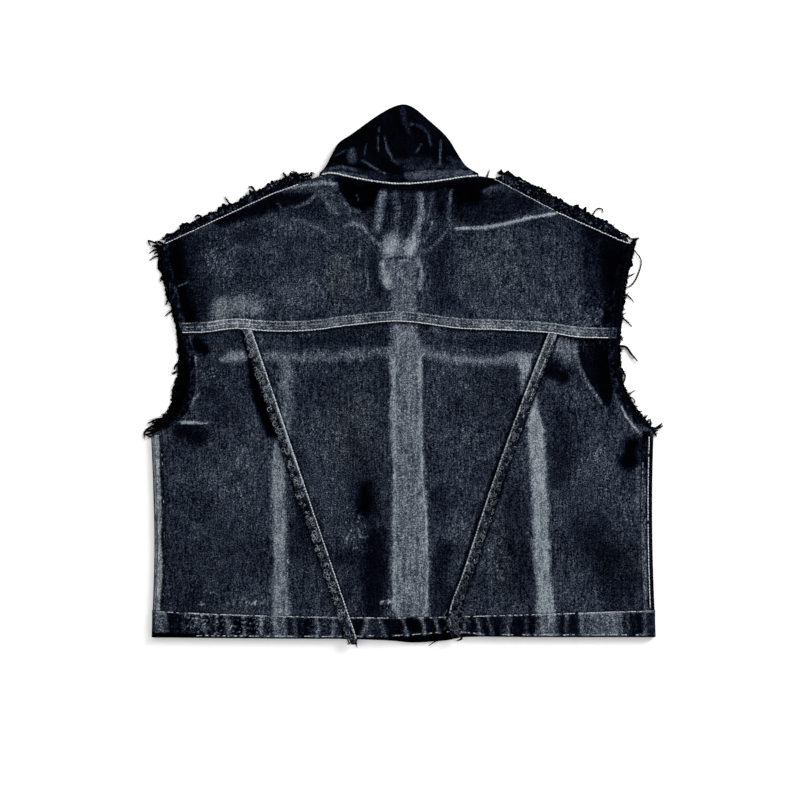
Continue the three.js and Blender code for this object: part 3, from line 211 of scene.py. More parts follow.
# Marks on the back: name, tone that the cloth comes to (0 black, 1 palest), how fully,
# softness of the edge, and the mark's path as (x, y, half width). Most are fades and unfaded
# cloth; the rows noted as painted shade stand for shade.
MARKS = (
    ("yoke left, pale cloud", 0.44, 0.6, 1, ((-130, 88, 18), (-72, 108, 20))),
    ("yoke right, pale cloud", 0.37, 0.6, 1, ((70, 128, 14), (120, 105, 26), (160, 92, 22))),
    ("yoke, low, above the seam", 0.46, 0.5, 0.8, ((84, 69, 7.5), (172, 65, 6.5))),
    ("left panel, pale cloud", 0.45, 0.55, 1, ((-202, -118, 22), (-173, -89, 16), (-180, -143, 24))),
    ("centre panel left, pale cloud", 0.38, 0.5, 1, ((-85, -61, 22), (-74, -138, 24), (-63, -176, 14))),
    ("centre panel right, pale cloud", 0.32, 0.5, 1, ((57, -72, 16), (60, -110, 14))),
    ("right panel, pale cloud", 0.38, 0.6, 1, ((207, -87, 20), (218, -120, 19))),
    ("right panel, low cloud", 0.36, 0.6, 0.8, ((200, -228, 10), (212, -244, 9))),
    ("navy round the neck folds", 0.16, 0.85, 0.7, ((-22, 188, 22), (20, 188, 22), (56, 182, 14))),
    # Painted shade below the raised collar.
    ("dark under the neck seam", 0.03, 0.9, 0.7,
     ((-72, 213, 5), (-10, 205, 5), (30, 206, 5), (84, 213, 5))),
    # Unfaded cloth, deepened by painted shade where the cloth curves down to the left armhole (this row and
    # the next).
    ("its soft inner side, left", 0.12, 0.8, 0.9, ((-232, 140, 16), (-229, 100, 17), (-222, 72, 12))),
    ("black beside the left armhole", 0, 1, 0.8, ((-252, 140, 14), (-249, 104, 14), (-236, 62, 12))),
    # Painted shade under the left shoulder seam, where the cloth curves down.
    ("dark under the left shoulder seam", 0.02, 0.95, 0.7,
     ((-204, 168, 5), (-168, 180, 9), (-138, 190, 12), (-108, 195, 10))),
    ("navy below it", 0.13, 0.8, 0.9, ((-222, 146, 10), (-185, 153, 11), (-150, 160, 9))),
    ("navy round the left neck point", 0.13, 0.8, 0.9, ((-112, 180, 12), (-92, 186, 10))),
    # Painted shade in the hollows beside the neck (this row and the next two).
    ("left neck hollow", 0, 1, 0.35, ((-64, 201, 12), (-48, 193, 16), (-35, 201, 10))),
    ("right neck hollow, its soft lower part", 0.02, 0.9, 0.9, ((66, 188, 12), (80, 186, 12))),
    ("right neck hollow", 0, 1, 0.5, ((60, 203, 12), (78, 200, 14))),
    ("dark left of it", 0.06, 0.9, 0.6, ((40, 200, 7), (42, 184, 7))),
    ("dark below the right neck point", 0.07, 0.85, 0.7, ((100, 190, 13), (139, 190, 10))),
    ("black at the right neck point", 0, 0.95, 0.8, ((84, 207, 7), (96, 213, 6), (106, 214, 4))),
    ("dark above the long crease", 0.1, 0.8, 0.6, ((72, 176, 11), (112, 176, 9))),
    ("dark right of the neck folds", 0.13, 0.8, 0.7, ((40, 143, 12), (43, 82, 14))),
    ("dark left of the neck folds", 0.13, 0.75, 0.7, ((-35, 129, 7.5), (-28, 88, 10))),
    # Unfaded cloth, deepened by painted shade where the cloth curves down to the right armhole (this row and
    # the next).
    ("black beside the right armhole", 0, 1, 0.3, ((232, 140, 22), (233, 94, 17), (233, 47, 14))),
    ("its soft inner side", 0.1, 0.85, 0.8, ((205, 145, 13), (210, 80, 13))),
    ("dark above the right shoulder tip", 0.05, 0.9, 0.8, ((205, 157, 10), (229, 151, 13))),
    ("centre panel, dark round the patch", 0.16, 0.65, 1, ((-52, -78, 12), (-44, -160, 20))),
    ("centre panel, near black patch", 0, 1, 0.95, ((-42, -126, 9), (-42, -148, 11))),
    ("centre panel, low dark", 0.12, 0.75, 0.8, ((-70, -196, 12), (-34, -205, 12))),
    ("dark beside the centre bar, low", 0.06, 0.9, 0.6, ((-30, -182, 13), (-33, -252, 15))),
    ("dark between the left bar and the strip", 0.1, 0.8, 0.7, ((-113, -140, 9), (-108, -178, 11))),
    # Painted shadow beside the left strip's outer edge.
    ("dark left of the left band", 0, 1, 0.5,
     ((-174, 41, 3), (-166, 8, 6), (-158, -24, 8), (-144, -63, 7))),
    ("dark at the left underarm", 0.04, 0.95, 0.9, ((-240, -62, 12), (-226, -68, 13))),
    ("left panel, navy", 0.15, 0.7, 0.9, ((-212, -18, 18), (-200, -48, 18))),
    ("left panel, low, dark", 0.17, 0.6, 0.8, ((-246, -204, 18), (-235, -248, 22))),
    ("right side, black", 0, 1, 0.75, ((251, -76, 10), (248, -96, 10))),
    ("right side, narrow black", 0.02, 0.9, 0.7, ((259, -163, 4), (260, -205, 4))),
    ("right panel, middle, dark", 0.13, 0.8, 0.9, ((170, -40, 12), (178, -76, 16), (172, -110, 12))),
    ("right panel, low, dark", 0.06, 0.8, 1, ((208, -180, 24), (228, -208, 26))),
    ("right panel, lowest", 0.12, 0.7, 0.8, ((244, -232, 18), (238, -252, 16))),
    ("between the strip and the right bar", 0.13, 0.75, 0.8, ((120, -140, 14), (128, -232, 12))),
    ("right panel, under the cloud", 0.03, 0.95, 0.6, ((163, 4, 10), (176, -3, 8))),
    ("right of the centre bar, middle", 0.14, 0.75, 0.7, ((38, -128, 9), (44, -142, 9))),
    ("right of the centre bar, low", 0.1, 0.85, 0.8, ((44, -190, 9), (40, -226, 10), (42, -254, 12))),
    ("centre, below the yoke, dark", 0.14, 0.7, 0.7, ((-114, 37, 7.5), (-59, 41, 6.5))),
    ("centre right, below the yoke, dark", 0.16, 0.65, 0.7, ((50, 38, 7), (140, 34, 6))),
    ("left panel by the armhole, dark", 0.01, 0.97, 0.5, ((-228, 34, 7.5), (-219, 27, 7))),
    ("yoke left, pale patch", 0.7, 0.8, 0.8, ((-200, 70, 11), (-180, 78, 14), (-160, 74, 10))),
    ("yoke left, its pale side", 0.66, 0.85, 0.6, ((-203, 66, 7), (-201, 80, 7))),
    ("right panel, cloud by the band", 0.66, 0.85, 0.6, ((174, 32, 9), (183, 21, 9))),
    ("left side turn, worn", 0.8, 0.95, 0.3, ((-276, -74, 6), (-277, -160, 7), (-277, -255, 7))),
    ("right side turn, dark", 0.05, 0.9, 0.4, ((274, -72, 3.5), (273, -160, 3.5), (276, -258, 4))),
    # Painted shade in the fold by the right armhole (this row and the next).
    ("black fold by the right armhole", 0.04, 1, 0.14,
     ((210, 33, 20), (211, 11, 19), (216, -8, 13), (224, -30, 5))),
    ("its darkest part", 0, 1, 0.4, ((221, 30, 12), (223, 0, 12), (224, -25, 6))),
    ("its worn edge", 0.62, 0.8, 0.8, ((188, 34, 2.5), (191, 13, 2.5), (201, -7, 2.5), (217, -30, 1.5))),
    ("centre bar", 0.68, 0.9, 0.16,
     ((8, -262, 20), (7, -204, 20), (7, -138, 19), (4, -72, 18), (2, -16, 17), (2, 33, 18))),
    ("centre bar, left rim", 0.86, 0.6, 0.8, ((-10, -258, 1.8), (-10, -100, 1.8), (-11, 20, 3))),
    ("centre bar, right rim", 0.9, 0.7, 0.7,
     ((26, -256, 1.6), (25, -150, 1.6), (20, -120, 1.6), (18, 20, 2.5))),
    ("centre bar, dark cloud", 0.58, 0.5, 0.8, ((-3, -124, 7), (2, -160, 7))),
    ("centre bar in the yoke", 0.62, 0.85, 0.4, ((2, 33, 18), (1, 72, 16), (-1, 96, 14))),
    ("cross fade, left end", 0.74, 0.85, 0.8, ((-177, 21, 6), (-189, 20, 6), (-200, 17, 3))),
    ("cross fade, left", 0.6, 0.8, 0.85,
     ((-17, 27, 6), (-48, 23, 6), (-81, 20, 5.5), (-114, 19, 5), (-152, 21, 5))),
    ("cross fade, right", 0.7, 0.85, 0.8,
     ((20, 26, 6), (51, 18, 5), (84, 15, 5.5), (123, 18, 6.5), (146, 21, 5))),
    ("left bar, high", 0.62, 0.85, 0.7, ((-129, 14, 8), (-130, -16, 8), (-131, -63, 6.5))),
    ("left bar", 0.78, 0.9, 0.5, ((-137, -76, 6), (-137, -138, 8.5), (-136, -204, 8.5), (-135, -262, 9))),
    ("right bar", 0.86, 0.92, 0.35,
     ((133, 16, 7), (137, -14, 7.5), (146, -61, 9), (150, -138, 9.5), (152, -204, 9), (157, -262, 9.5))),
    ("neck streak 1", 0.64, 0.9, 0.8, ((-23, 200, 4), (-26, 179, 4.5), (-29, 160, 4))),
    ("neck streak 2", 0.36, 0.9, 0.8, ((-9, 199, 3.5), (-6, 180, 3.5), (-8, 158, 3.5), (-9, 141, 4))),
    ("neck streak 3", 0.68, 0.9, 0.75, ((18, 198, 3.5), (20, 177, 4), (12, 154, 5.5), (6, 132, 7.5))),
    ("neck streak 4", 0.5, 0.75, 0.6, ((32, 200, 1.5), (29, 182, 1.5), (25, 165, 1.5))),
    ("neck streak 5", 0.6, 0.75, 0.6, ((31, 168, 1.5), (29, 157, 1.5), (22, 146, 1.5))),
    ("neck streak 6", 0.46, 0.8, 0.6, ((53, 204, 1.5), (50, 186, 2), (51, 165, 2))),
    ("short streak, left neck hollow", 0.5, 0.8, 0.6, ((-51, 198, 1), (-50, 192, 1))),
    ("arc right of the neck", 0.5, 0.75, 0.6, ((51, 164, 2), (43, 152, 2), (30, 139, 2), (19, 133, 3))),
    ("arc left of the neck", 0.66, 0.85, 0.6,
     ((-64, 164, 2.5), (-53, 167, 2.5), (-43, 161, 2.5), (-32, 147, 2.5), (-26, 142, 2), (-18, 131, 3))),
    ("pale under the folds, left", 0.86, 0.95, 0.8, ((-14, 148, 8), (-14, 138, 12))),
    ("pale under the folds, right", 0.85, 0.92, 0.8, ((10, 145, 7), (9, 137, 8))),
    ("round patch", 0.6, 0.85, 0.35, ((-3, 118, 18), (-2, 109, 19))),
    ("round patch, left rim", 0.84, 0.88, 0.5, ((-23, 122, 4), (-22, 106, 5), (-17, 98, 5))),
    ("round patch, right rim", 0.8, 0.85, 0.5, ((16, 127, 3.5), (20, 109, 3.5), (17, 96, 4))),
    ("dark eye in the patch", 0.15, 0.85, 0.5, ((16, 118, 1), (16, 109, 1.5))),
    ("dark line over the patch", 0.2, 0.8, 0.6, ((-19, 128, 1), (-6, 129, 1.5), (9, 128, 1))),
    ("thin upright line", 0.55, 0.7, 0.6, ((-47, 151, 1), (-48, 131, 1))),
    ("thin upright line 2", 0.55, 0.7, 0.6, ((-41, 140, 1), (-40, 113, 1.5), (-38, 94, 1.5))),
    ("long crease to the right shoulder", 0.95, 0.95, 0.6,
     ((58, 161, 1.5), (90, 162, 2.2), (112, 166, 2.2), (140, 173, 2), (168, 178, 1.5))),
    ("pale corner, left neck point", 0.36, 0.85, 0.8, ((-118, 203, 3), (-94, 207, 4), (-75, 205, 4))),
    ("pale ridge, left neck point", 0.8, 0.9, 0.6,
     ((-127, 205, 1.2), (-110, 208.5, 2), (-92, 211, 2.4), (-74, 210, 2))),
    ("streak from the left neck point", 0.5, 0.85, 0.8, ((-90, 200, 3.5), (-82, 186, 3.5), (-72, 176, 3))),
    ("short streak beside it", 0.46, 0.7, 0.7, ((-72, 198, 3.5), (-60, 182, 3.5), (-50, 180, 3))),
    ("curved crease, left shoulder", 0.55, 0.85, 0.6, ((-119, 184, 1.5), (-105, 190, 2), (-96, 198, 2))),
    ("curved crease, lower", 0.55, 0.85, 0.6,
     ((-122, 172, 1.5), (-107, 168, 2), (-94, 161, 2), (-86, 157, 1.5))),
    ("short ticks, left shoulder", 0.42, 0.7, 0.6, ((-138, 188, 1), (-133, 182, 1), (-122, 186, 1))),
    ("pale corner, right neck point", 0.3, 0.8, 0.7, ((88, 202, 3), (102, 206, 3))),
    ("stroke by the left armhole", 0.55, 0.9, 0.6, ((-247, 98, 1), (-238, 102, 1))),
    ("left underarm crease", 0.95, 0.97, 0.5, ((-251, -50.5, 1.3), (-243, -52, 1.6), (-216, -53, 1.2))),
    ("left armhole inner line", 0.74, 0.9, 0.6, ((-229, 20, 1.5), (-230, -12, 1.8))),
    ("left armhole inner line, low", 0.7, 0.9, 0.6, ((-226, -22, 1.5), (-234, -30, 1.6), (-243, -40, 1.2))),
    ("right armhole pale line", 0.85, 0.95, 0.5,
     ((240, -35, 1), (245, -46, 1.2), (256, -60, 1.2), (265, -68, 1))),
    ("right side, pale streak", 0.45, 0.8, 0.7, ((259, -104, 3.5), (258, -140, 3.5), (262, -215, 3))),
    ("specks by the centre bar", 0.75, 0.8, 0.6, ((-25, -250, 1.5), (-10, -248, 1.5))),
)
# Marks on the collar, with the same columns. The sheen streaks, the crease and the arc along its wrinkles are
# painted highlights.
COLLAR_MARKS = (
    ("stand, left", 0.2, 0.8, 0.6, ((-85, 223, 3.5), (-57, 222, 4), (-20, 215, 4))),
    ("stand, right", 0.46, 0.85, 0.35, ((5, 219, 5), (40, 221, 5), (74, 222, 3))),
    ("stand, upper right", 0.25, 0.8, 0.7, ((2, 228, 3), (40, 230, 3), (66, 228, 3))),
    ("stand ridge, left", 0.5, 0.85, 0.6, ((-88, 222.5, 1.2), (-68, 222, 1.2), (-40, 217.5, 1))),
    ("stand ridge, upper left", 0.42, 0.85, 0.6, ((-84, 226, 1.4), (-68, 228.5, 1.4), (-52, 225, 1.2))),
    ("collar scuff, upper left", 0.5, 0.8, 0.6, ((-27, 272, 1), (-27, 268, 1))),
    ("collar scuff 2", 0.36, 0.85, 0.8, ((-28, 262, 1.3), (-28, 247, 1.3))),
    ("collar scuff 3", 0.46, 0.85, 0.7,
     ((-21, 262, 1.2), (-18, 249, 1.6), (-12, 236, 1.2), (-6, 232, 1.2))),
    ("collar scuff 4", 0.36, 0.8, 0.8, ((-41, 254, 1), (-43, 242, 1))),
    ("collar patch, left", 0.42, 0.85, 0.7, ((-56, 246, 4), (-56, 238, 5.5))),
    ("collar line, left", 0.24, 0.8, 0.8, ((-76, 241, 1.2), (-63, 247, 1.2))),
    ("collar crease, left", 0.5, 0.95, 0.5, ((-46, 236, 1), (-33, 228, 1), (-20, 221, 1))),
    ("collar scuff, top", 0.22, 0.85, 0.9, ((-1, 294, 3), (1, 278, 3), (7, 266, 2))),
    ("collar arc, right", 0.3, 0.85, 0.7, ((8, 276, 1.3), (18, 274, 1.3), (27, 266, 1.7), (30, 252, 1.3))),
    ("collar scuff, right", 0.5, 0.9, 0.6, ((41, 258, 1), (40, 232, 1))),
    ("collar scuff, mid right", 0.36, 0.85, 0.7, ((20, 254, 1.2), (14, 245, 1.2))),
    ("collar, mottled under the leaf", 0.2, 0.75, 0.9, ((-6, 235, 4), (28, 234, 5))),
    ("collar, right low", 0.24, 0.75, 0.9, ((50, 238, 3), (66, 232, 3))),
)

# Where bright flecks show on dark cloth: centre, half width, half height and strength, in millimetres.
FLECKS = (
    (-218, -239, 12, 4, 0.6), (-168, -250, 24, 6, 0.9), (-222, -252, 5, 3, 0.6), (-165, -239, 6, 3, 0.6),
    (-54, -170, 18, 26, 0.6), (-78, -67, 18, 9, 0.4), (-17, -250, 10, 7, 1), (-94, -259, 10, 3, 0.7),
    (-148, 157, 14, 6, 0.5), (-200, 128, 26, 36, 0.4), (-212, -2, 18, 14, 0.5), (-232, -32, 6, 10, 0.5),
    (64, -170, 22, 40, 0.25), (200, 60, 40, 40, 0.3), (100, -205, 20, 30, 0.3), (196, -30, 30, 20, 0.25),
)

# Marks that are the worn crests or the hollows of small folds: name, height, how much wider.
CREASES = (
    ("neck streak 1", 0.5, 3), ("neck streak 2", 0.5, 3), ("neck streak 3", 0.6, 3),
    ("neck streak 4", 0.4, 2.5), ("neck streak 5", 0.4, 2.5), ("neck streak 6", 0.4, 3),
    ("arc right of the neck", 0.5, 2.5), ("arc left of the neck", 0.6, 2.5),
    ("long crease to the right shoulder", 0.9, 2.5), ("curved crease, left shoulder", 0.6, 2.5),
    ("curved crease, lower", 0.6, 2.5), ("streak from the left neck point", 0.6, 3),
    ("left underarm crease", 0.8, 2.5), ("its worn edge", 0.8, 3), ("right armhole pale line", 0.6, 2),
    ("cross fade, left", 0.35, 2), ("cross fade, right", 0.4, 2), ("cross fade, left end", 0.5, 3),
    ("left neck hollow", -0.6, 0), ("right neck hollow", -0.6, 0), ("thin upright line", 0.4, 2),
    ("thin upright line 2", 0.4, 2), ("dark line over the patch", -0.4, 1.5),
    ("round patch, left rim", 0.5, 1.5), ("round patch, right rim", 0.5, 1.5),
    ("its darkest part", -0.7, 0), ("dark left of the left band", -0.5, 0),
    ("centre panel, near black patch", -0.5, 0), ("right side, black", -0.5, 0),
)
# The collar's wrinkles, whose crests carry the painted highlights: name, height, how much wider.
COLLAR_CREASES = (
    ("collar scuff 2", 0.5, 2), ("collar scuff 3", 0.6, 2), ("collar scuff 4", 0.5, 2),
    ("collar crease, left", 0.6, 2), ("collar arc, right", 0.5, 2), ("collar scuff, right", 0.6, 2),
    ("collar scuff, mid right", 0.5, 2),
)

# Greenish grey patches: x, y, half width, half height, strength.
TINTS = (
    (-197, 77, 20, 18, 0.3), (-70, 112, 20, 34, 0.5), (104, 121, 46, 38, 0.25), (-272, -160, 9, 95, 0.4),
    (-60, -60, 30, 60, 0.35), (230, -205, 34, 34, 0.35), (112, -190, 20, 60, 0.35), (95, -20, 30, 30, 0.3),
)

# Puckers drawn up by the waistband's stitching: x at the top, x at the bottom, strength.
PUCKERS = (
    (-262, -260, 0.5), (-241, -244, 0.35), (-220, -218, 0.7), (-205, -207, 0.35), (-194, -192, 0.5),
    (-174, -176, 0.5), (-158, -155, 0.5), (-140, -142, 0.35), (-121, -119, 0.4), (-95, -94, 0.55),
    (-76, -78, 0.5), (-60, -58, 0.35), (-39, -47, 0.6), (-25, -19, 0.6), (-1, 5, 0.8), (19, 24, 0.9),
    (34, 39, 0.65), (68, 65, 0.6), (81, 84, 0.6), (92, 99, 0.6), (117, 115, 0.5), (134, 137, 0.35),
    (150, 148, 0.4), (165, 168, 0.35), (180, 178, 0.4), (195, 197, 0.65), (212, 209, 0.35),
    (230, 232, 0.65), (248, 246, 0.35), (265, 266, 0.5),
)

# Long loose yarns: thickness, then the route as (x, y), lying from the edge out onto the table.
LOOSE_LEFT = (
    (1.6, ((-266, 139), (-273, 145), (-281, 148), (-279, 142))),
    (3.2, ((-262, 140), (-270, 142), (-277, 142))), (2.6, ((-263, 142), (-268, 146), (-274, 147))),
    (2.4, ((-264, 134), (-270, 136), (-275, 133))), (1.8, ((-266, 136), (-274, 138), (-280, 134))),
    (2.2, ((-262, 110), (-266, 108), (-268, 103))), (2.0, ((-256, 84), (-260, 82), (-262, 77))),
    (2.2, ((-244, 14), (-250, 12), (-253, 6))), (2.2, ((-246, -10), (-252, -12), (-255, -18))),
    (1.3, ((-266, 128), (-272, 131), (-280, 126))),
    (1.3, ((-251, 73), (-257, 70), (-263, 65))),
    (1.4, ((-243, -1), (-250, 3), (-255, 1), (-249, 6))),
    (1.2, ((-246, -18), (-252, -24), (-257, -22))),
    (1.5, ((-266, -60), (-277, -57), (-285, -62), (-286, -70))),
    (3.4, ((-260, -49), (-270, -54), (-281, -58))), (3, ((-264, -54), (-274, -60), (-284, -62))),
    (3.2, ((-256, -52), (-266, -59), (-277, -63))), (3.4, ((-258, -46), (-268, -51), (-277, -53))),
    (2.4, ((-268, -58), (-277, -64), (-285, -66))), (2, ((-262, -47), (-272, -49), (-282, -53))),
    (1.2, ((-270, -63), (-279, -68), (-284, -66))),
)
LOOSE_RIGHT = (
    (2.2, ((236, 32), (245, 31), (252, 22), (258, 15))),
    (1.8, ((234, 8), (243, 2), (244, -4), (241, -12))),
    (1.4, ((240, -18), (247, -21), (255, -17))),
    (1, ((243, -27), (251, -25), (255, -29), (253, -33))),
    (1.3, ((250, -39), (254, -37), (259, -34))),
    (1.2, ((254, -44), (258, -42), (263, -40))),
    (3.6, ((262, -56), (272, -59), (279, -59))), (2.4, ((270, -58), (278, -59), (286, -56))),
    (3, ((264, -60), (272, -63), (280, -61))), (3, ((258, -54), (266, -54), (272, -56))),
    (2.4, ((258, -50), (263, -53), (268, -52))), (2, ((262, -50), (266, -47), (269, -44))),
    (1.8, ((276, -60), (282, -56), (285, -53))),
    (1.5, ((272, -61), (277, -64), (279, -68))),
    (1.3, ((254, 138), (262, 126), (258, 110), (252, 100), (243, 95))),
    (1.6, ((250, 144), (254, 149), (260, 151))), (3, ((247, 142), (253, 145), (257, 150))),
    (2.4, ((250, 138), (254, 142), (256, 147))),
    (1.5, ((242, 89), (248, 87), (254, 80))),
    (1.5, ((239, 64), (245, 60), (252, 53))),
    (1.2, ((243, 108), (249, 109), (255, 112))),
)
LOOSE_SHOULDER_LEFT = (
    (1.4, ((-190, 186), (-194, 192), (-197, 197))), (1.2, ((-110, 215), (-117, 222), (-124, 225))),
    (1.6, ((-101, 219), (-102, 223), (-98, 222))), (2.6, ((-126, 213), (-130, 219), (-133, 223))),
    (3.4, ((-110, 213), (-104, 216), (-99, 215))), (2.6, ((-112, 215), (-106, 219), (-101, 220))),
    (2.4, ((-120, 215), (-121, 220), (-118, 224))), (2.2, ((-112, 216), (-108, 214), (-104, 217))),
    (2, ((-222, 174), (-227, 176), (-230, 174))), (2, ((-163, 200), (-167, 207), (-171, 207))),
)
LOOSE_SHOULDER_RIGHT = (
    (1.2, ((91, 211), (92, 218), (95, 227))), (1.2, ((208, 176), (213, 183), (219, 183), (220, 178))),
    (1.3, ((248, 150), (254, 150), (259, 151))),
)
LOOSE_STRIP_LEFT = (
    (1.1, ((-55, -288), (-58, -293), (-61, -296))), (1, ((-50, -287), (-52, -294), (-51, -299))),
)
LOOSE_STRIP_RIGHT = (
    (1.4, ((52, -262), (46, -270), (50, -280), (58, -286))),
    (1.2, ((60, -262), (66, -268), (63, -277), (70, -283))),
    (0.7, ((48, -258), (44, -266), (49, -272), (44, -280))), (0.9, ((55, -280), (61, -287), (64, -290))),
    (0.6, ((62, -254), (70, -260), (66, -266), (72, -272))),
    (0.7, ((58, -260), (54, -268), (60, -276), (56, -285))),
    (0.6, ((50, -264), (58, -268), (66, -266), (74, -271))), (1.4, ((46, -284), (38, -290), (28, -297))),
    (0.6, ((64, -250), (60, -257), (66, -262), (60, -270))), (1.2, ((60, -284), (64, -289), (58, -292))),
)


# Curves and fields.
def smooth(value, low, high):
    """An S-shaped rise from 0 at low to 1 at high."""
    t = np.clip((value - low) / (high - low), 0, 1)
    return t * t * (3 - 2 * t)


def lerp(start, end, share):
    return start + (end - start) * share


def bell(value, middle=0, width=1):
    """exp(-((value - middle) / width) squared)."""
    return np.exp(-(((value - middle) / width) ** 2))


def curve(table):
    """A cubic through (key, value) rows, with the slope at each row taken from its neighbours."""
    keys, values = np.array(table, float).T
    last = len(keys) - 1
    before = np.maximum(np.arange(last + 1) - 1, 0)
    after = np.minimum(np.arange(last + 1) + 1, last)
    slopes = (values[after] - values[before]) / (keys[after] - keys[before])

    def at(place):
        key = np.clip(place, keys[0], keys[-1])
        i = np.clip(np.searchsorted(keys, key) - 1, 0, last - 1)
        span = keys[i + 1] - keys[i]
        t = (key - keys[i]) / span
        ease = t * (1 - t) * ((1 - t) * slopes[i] - t * slopes[i + 1])
        return lerp(values[i], values[i + 1], t * t * (3 - 2 * t)) + span * ease

    return at


def straight(table):
    """Straight runs between (key, value) rows."""
    keys, values = np.array(table, float).T
    return lambda place: np.interp(place, keys, values)


LATTICE_SIZE = 256
LATTICE = np.random.default_rng(7).random((LATTICE_SIZE, LATTICE_SIZE))


def cloud(x, y, size, seed=0):
    """Soft blotches of one size, from 0 to 1: random values on a lattice, eased between."""
    u = np.asarray(x / size + 37.3 * seed, float)
    v = np.asarray(y / size + 71.7 * seed, float)
    i = np.floor(u).astype(int)
    j = np.floor(v).astype(int)
    s = smooth(u - i, 0, 1)
    t = smooth(v - j, 0, 1)

    def corner(right, up):
        return LATTICE[(i + right) % LATTICE_SIZE, (j + up) % LATTICE_SIZE]

    return lerp(lerp(corner(0, 0), corner(1, 0), s), lerp(corner(0, 1), corner(1, 1), s), t)


def signed_cloud(x, y, size, seed):
    """The same blotches from -1 to 1."""
    return 2 * cloud(x, y, size, seed) - 1


def blots(rows, x, y):
    """Soft ovals summed, from rows of centre, half width, half height and strength."""
    total = np.zeros(np.shape(x))
    for centre_x, centre_y, wide, tall, strength in rows:
        away = np.hypot((x - centre_x) / wide, (y - centre_y) / tall)
        total = total + strength * (1 - smooth(away, 0.3, 1.2))
    return total


yoke_seam = curve(YOKE_SEAM)
waist_seam = curve(WAIST_SEAM)
back_hem = curve(BACK_HEM)
front_hem = curve(FRONT_HEM)
shoulder_left = straight(SHOULDER_LEFT)
shoulder_right = straight(SHOULDER_RIGHT)
neck_seam = curve(NECK_SEAM)
collar_top = curve(COLLAR_TOP)
NECK_LEFT = NECK_SEAM[0][0]
NECK_RIGHT = NECK_SEAM[-1][0]


def side_of(
    name, sign, side, back, front, strip, shoulder, raw, loose, shoulder_loose, strip_loose, tip, curled,
):
    """One side's curves, places, long yarns, and its strip's curls: count, inside, outside, palest."""
    return SimpleNamespace(
        name=name, sign=sign, side_x=curve(side), back_armhole=curve(back), front_armhole=curve(front),
        strip_x=curve(strip), underarm=back[0][0], shoulder_tip=back[-1][0], shoulder=shoulder,
        raw_width=straight(raw), raw_from=raw[0][0], raw_to=raw[-1][0], loose=loose,
        shoulder_loose=shoulder_loose, strip_loose=strip_loose, strip_tip=tip,
        curled=curled, placket_edge=PLACKET_CENTRE + sign * PLACKET_HALF,
        neck_point=NECK_LEFT if sign < 0 else NECK_RIGHT,
    )


LEFT = side_of(
    "left", -1, SIDE_LEFT, BACK_ARMHOLE_LEFT, FRONT_ARMHOLE_LEFT, STRIP_SEAM_LEFT, shoulder_left,
    RAW_SHOULDER_LEFT, LOOSE_LEFT, LOOSE_SHOULDER_LEFT, LOOSE_STRIP_LEFT, -296,
    (280, -4.5, 2, 0.95),
)
RIGHT = side_of(
    "right", 1, SIDE_RIGHT, BACK_ARMHOLE_RIGHT, FRONT_ARMHOLE_RIGHT, STRIP_SEAM_RIGHT, shoulder_right,
    RAW_SHOULDER_RIGHT, LOOSE_RIGHT, LOOSE_SHOULDER_RIGHT, LOOSE_STRIP_RIGHT, -286.5,
    (220, -7, 0.4, 0.7),
)
SIDES = (LEFT, RIGHT)


def back_edge(side, y):
    return np.where(y < side.underarm, side.side_x(y), side.back_armhole(y))


def inside_edge(x, y):
    """How far a place lies inside the back's side edges."""
    return np.abs(np.where(x < 0, back_edge(LEFT, y), back_edge(RIGHT, y))) - np.abs(x)


def front_edge(side, y):
    return np.where(y < side.underarm, side.side_x(y), side.front_armhole(y))


def yoke_top(x):
    """Left shoulder, back neck, right shoulder."""
    shoulders = np.where(x < NECK_LEFT, shoulder_left(x), shoulder_right(x))
    return np.where((x < NECK_LEFT) | (x > NECK_RIGHT), shoulders, neck_seam(x))


def front_neck(x):
    """A rounded drop from each neck point, level across the placket."""
    from_left = (PLACKET_LEFT - x) / (PLACKET_LEFT - NECK_LEFT)
    from_right = (x - PLACKET_RIGHT) / (NECK_RIGHT - PLACKET_RIGHT)
    share = np.clip(np.where(x < PLACKET_CENTRE, from_left, from_right), 0, 1)
    return NECK_SEAM[0][1] - FRONT_NECK_DROP * (1 - share ** 2.2)


def front_top(x):
    return np.where((x < NECK_LEFT) | (x > NECK_RIGHT), yoke_top(x), front_neck(x))


def folds_at(folds, x, y):
    """Crests with a bell-shaped section that die away towards both ends."""
    total = np.zeros(np.shape(x))
    for crest_x, crest_y, heading, reach, width, height in folds:
        turn = np.radians(heading)
        along = (x - crest_x) * np.cos(turn) + (y - crest_y) * np.sin(turn)
        across = (y - crest_y) * np.cos(turn) - (x - crest_x) * np.sin(turn)
        ends = 1 - smooth(np.abs(along), reach * 0.45, reach)
        total = total + height * ends * bell(across, 0, width)
    return total


def path_distance(x, y, points, wider=0.0):
    """Distance to a path of (x, y, half width), in half widths of the nearest place."""
    nearest = np.full(np.shape(x), 9.0)
    for (ax, ay, aw), (bx, by, bw) in zip(points, points[1:]):
        dx, dy = bx - ax, by - ay
        t = np.clip(((x - ax) * dx + (y - ay) * dy) / (dx * dx + dy * dy), 0, 1)
        away = np.hypot(x - ax - t * dx, y - ay - t * dy) / (lerp(aw, bw, t) + wider)
        nearest = np.minimum(nearest, away)
    return nearest


def creases_at(creases, marks, x, y):
    """Small bell-shaped ridges and hollows along the paths of the named marks."""
    paths = {mark[0]: mark[-1] for mark in marks}
    total = np.zeros(np.shape(x))
    for name, height, wider in creases:
        total = total + height * bell(path_distance(x, y, paths[name], wider))
    return total


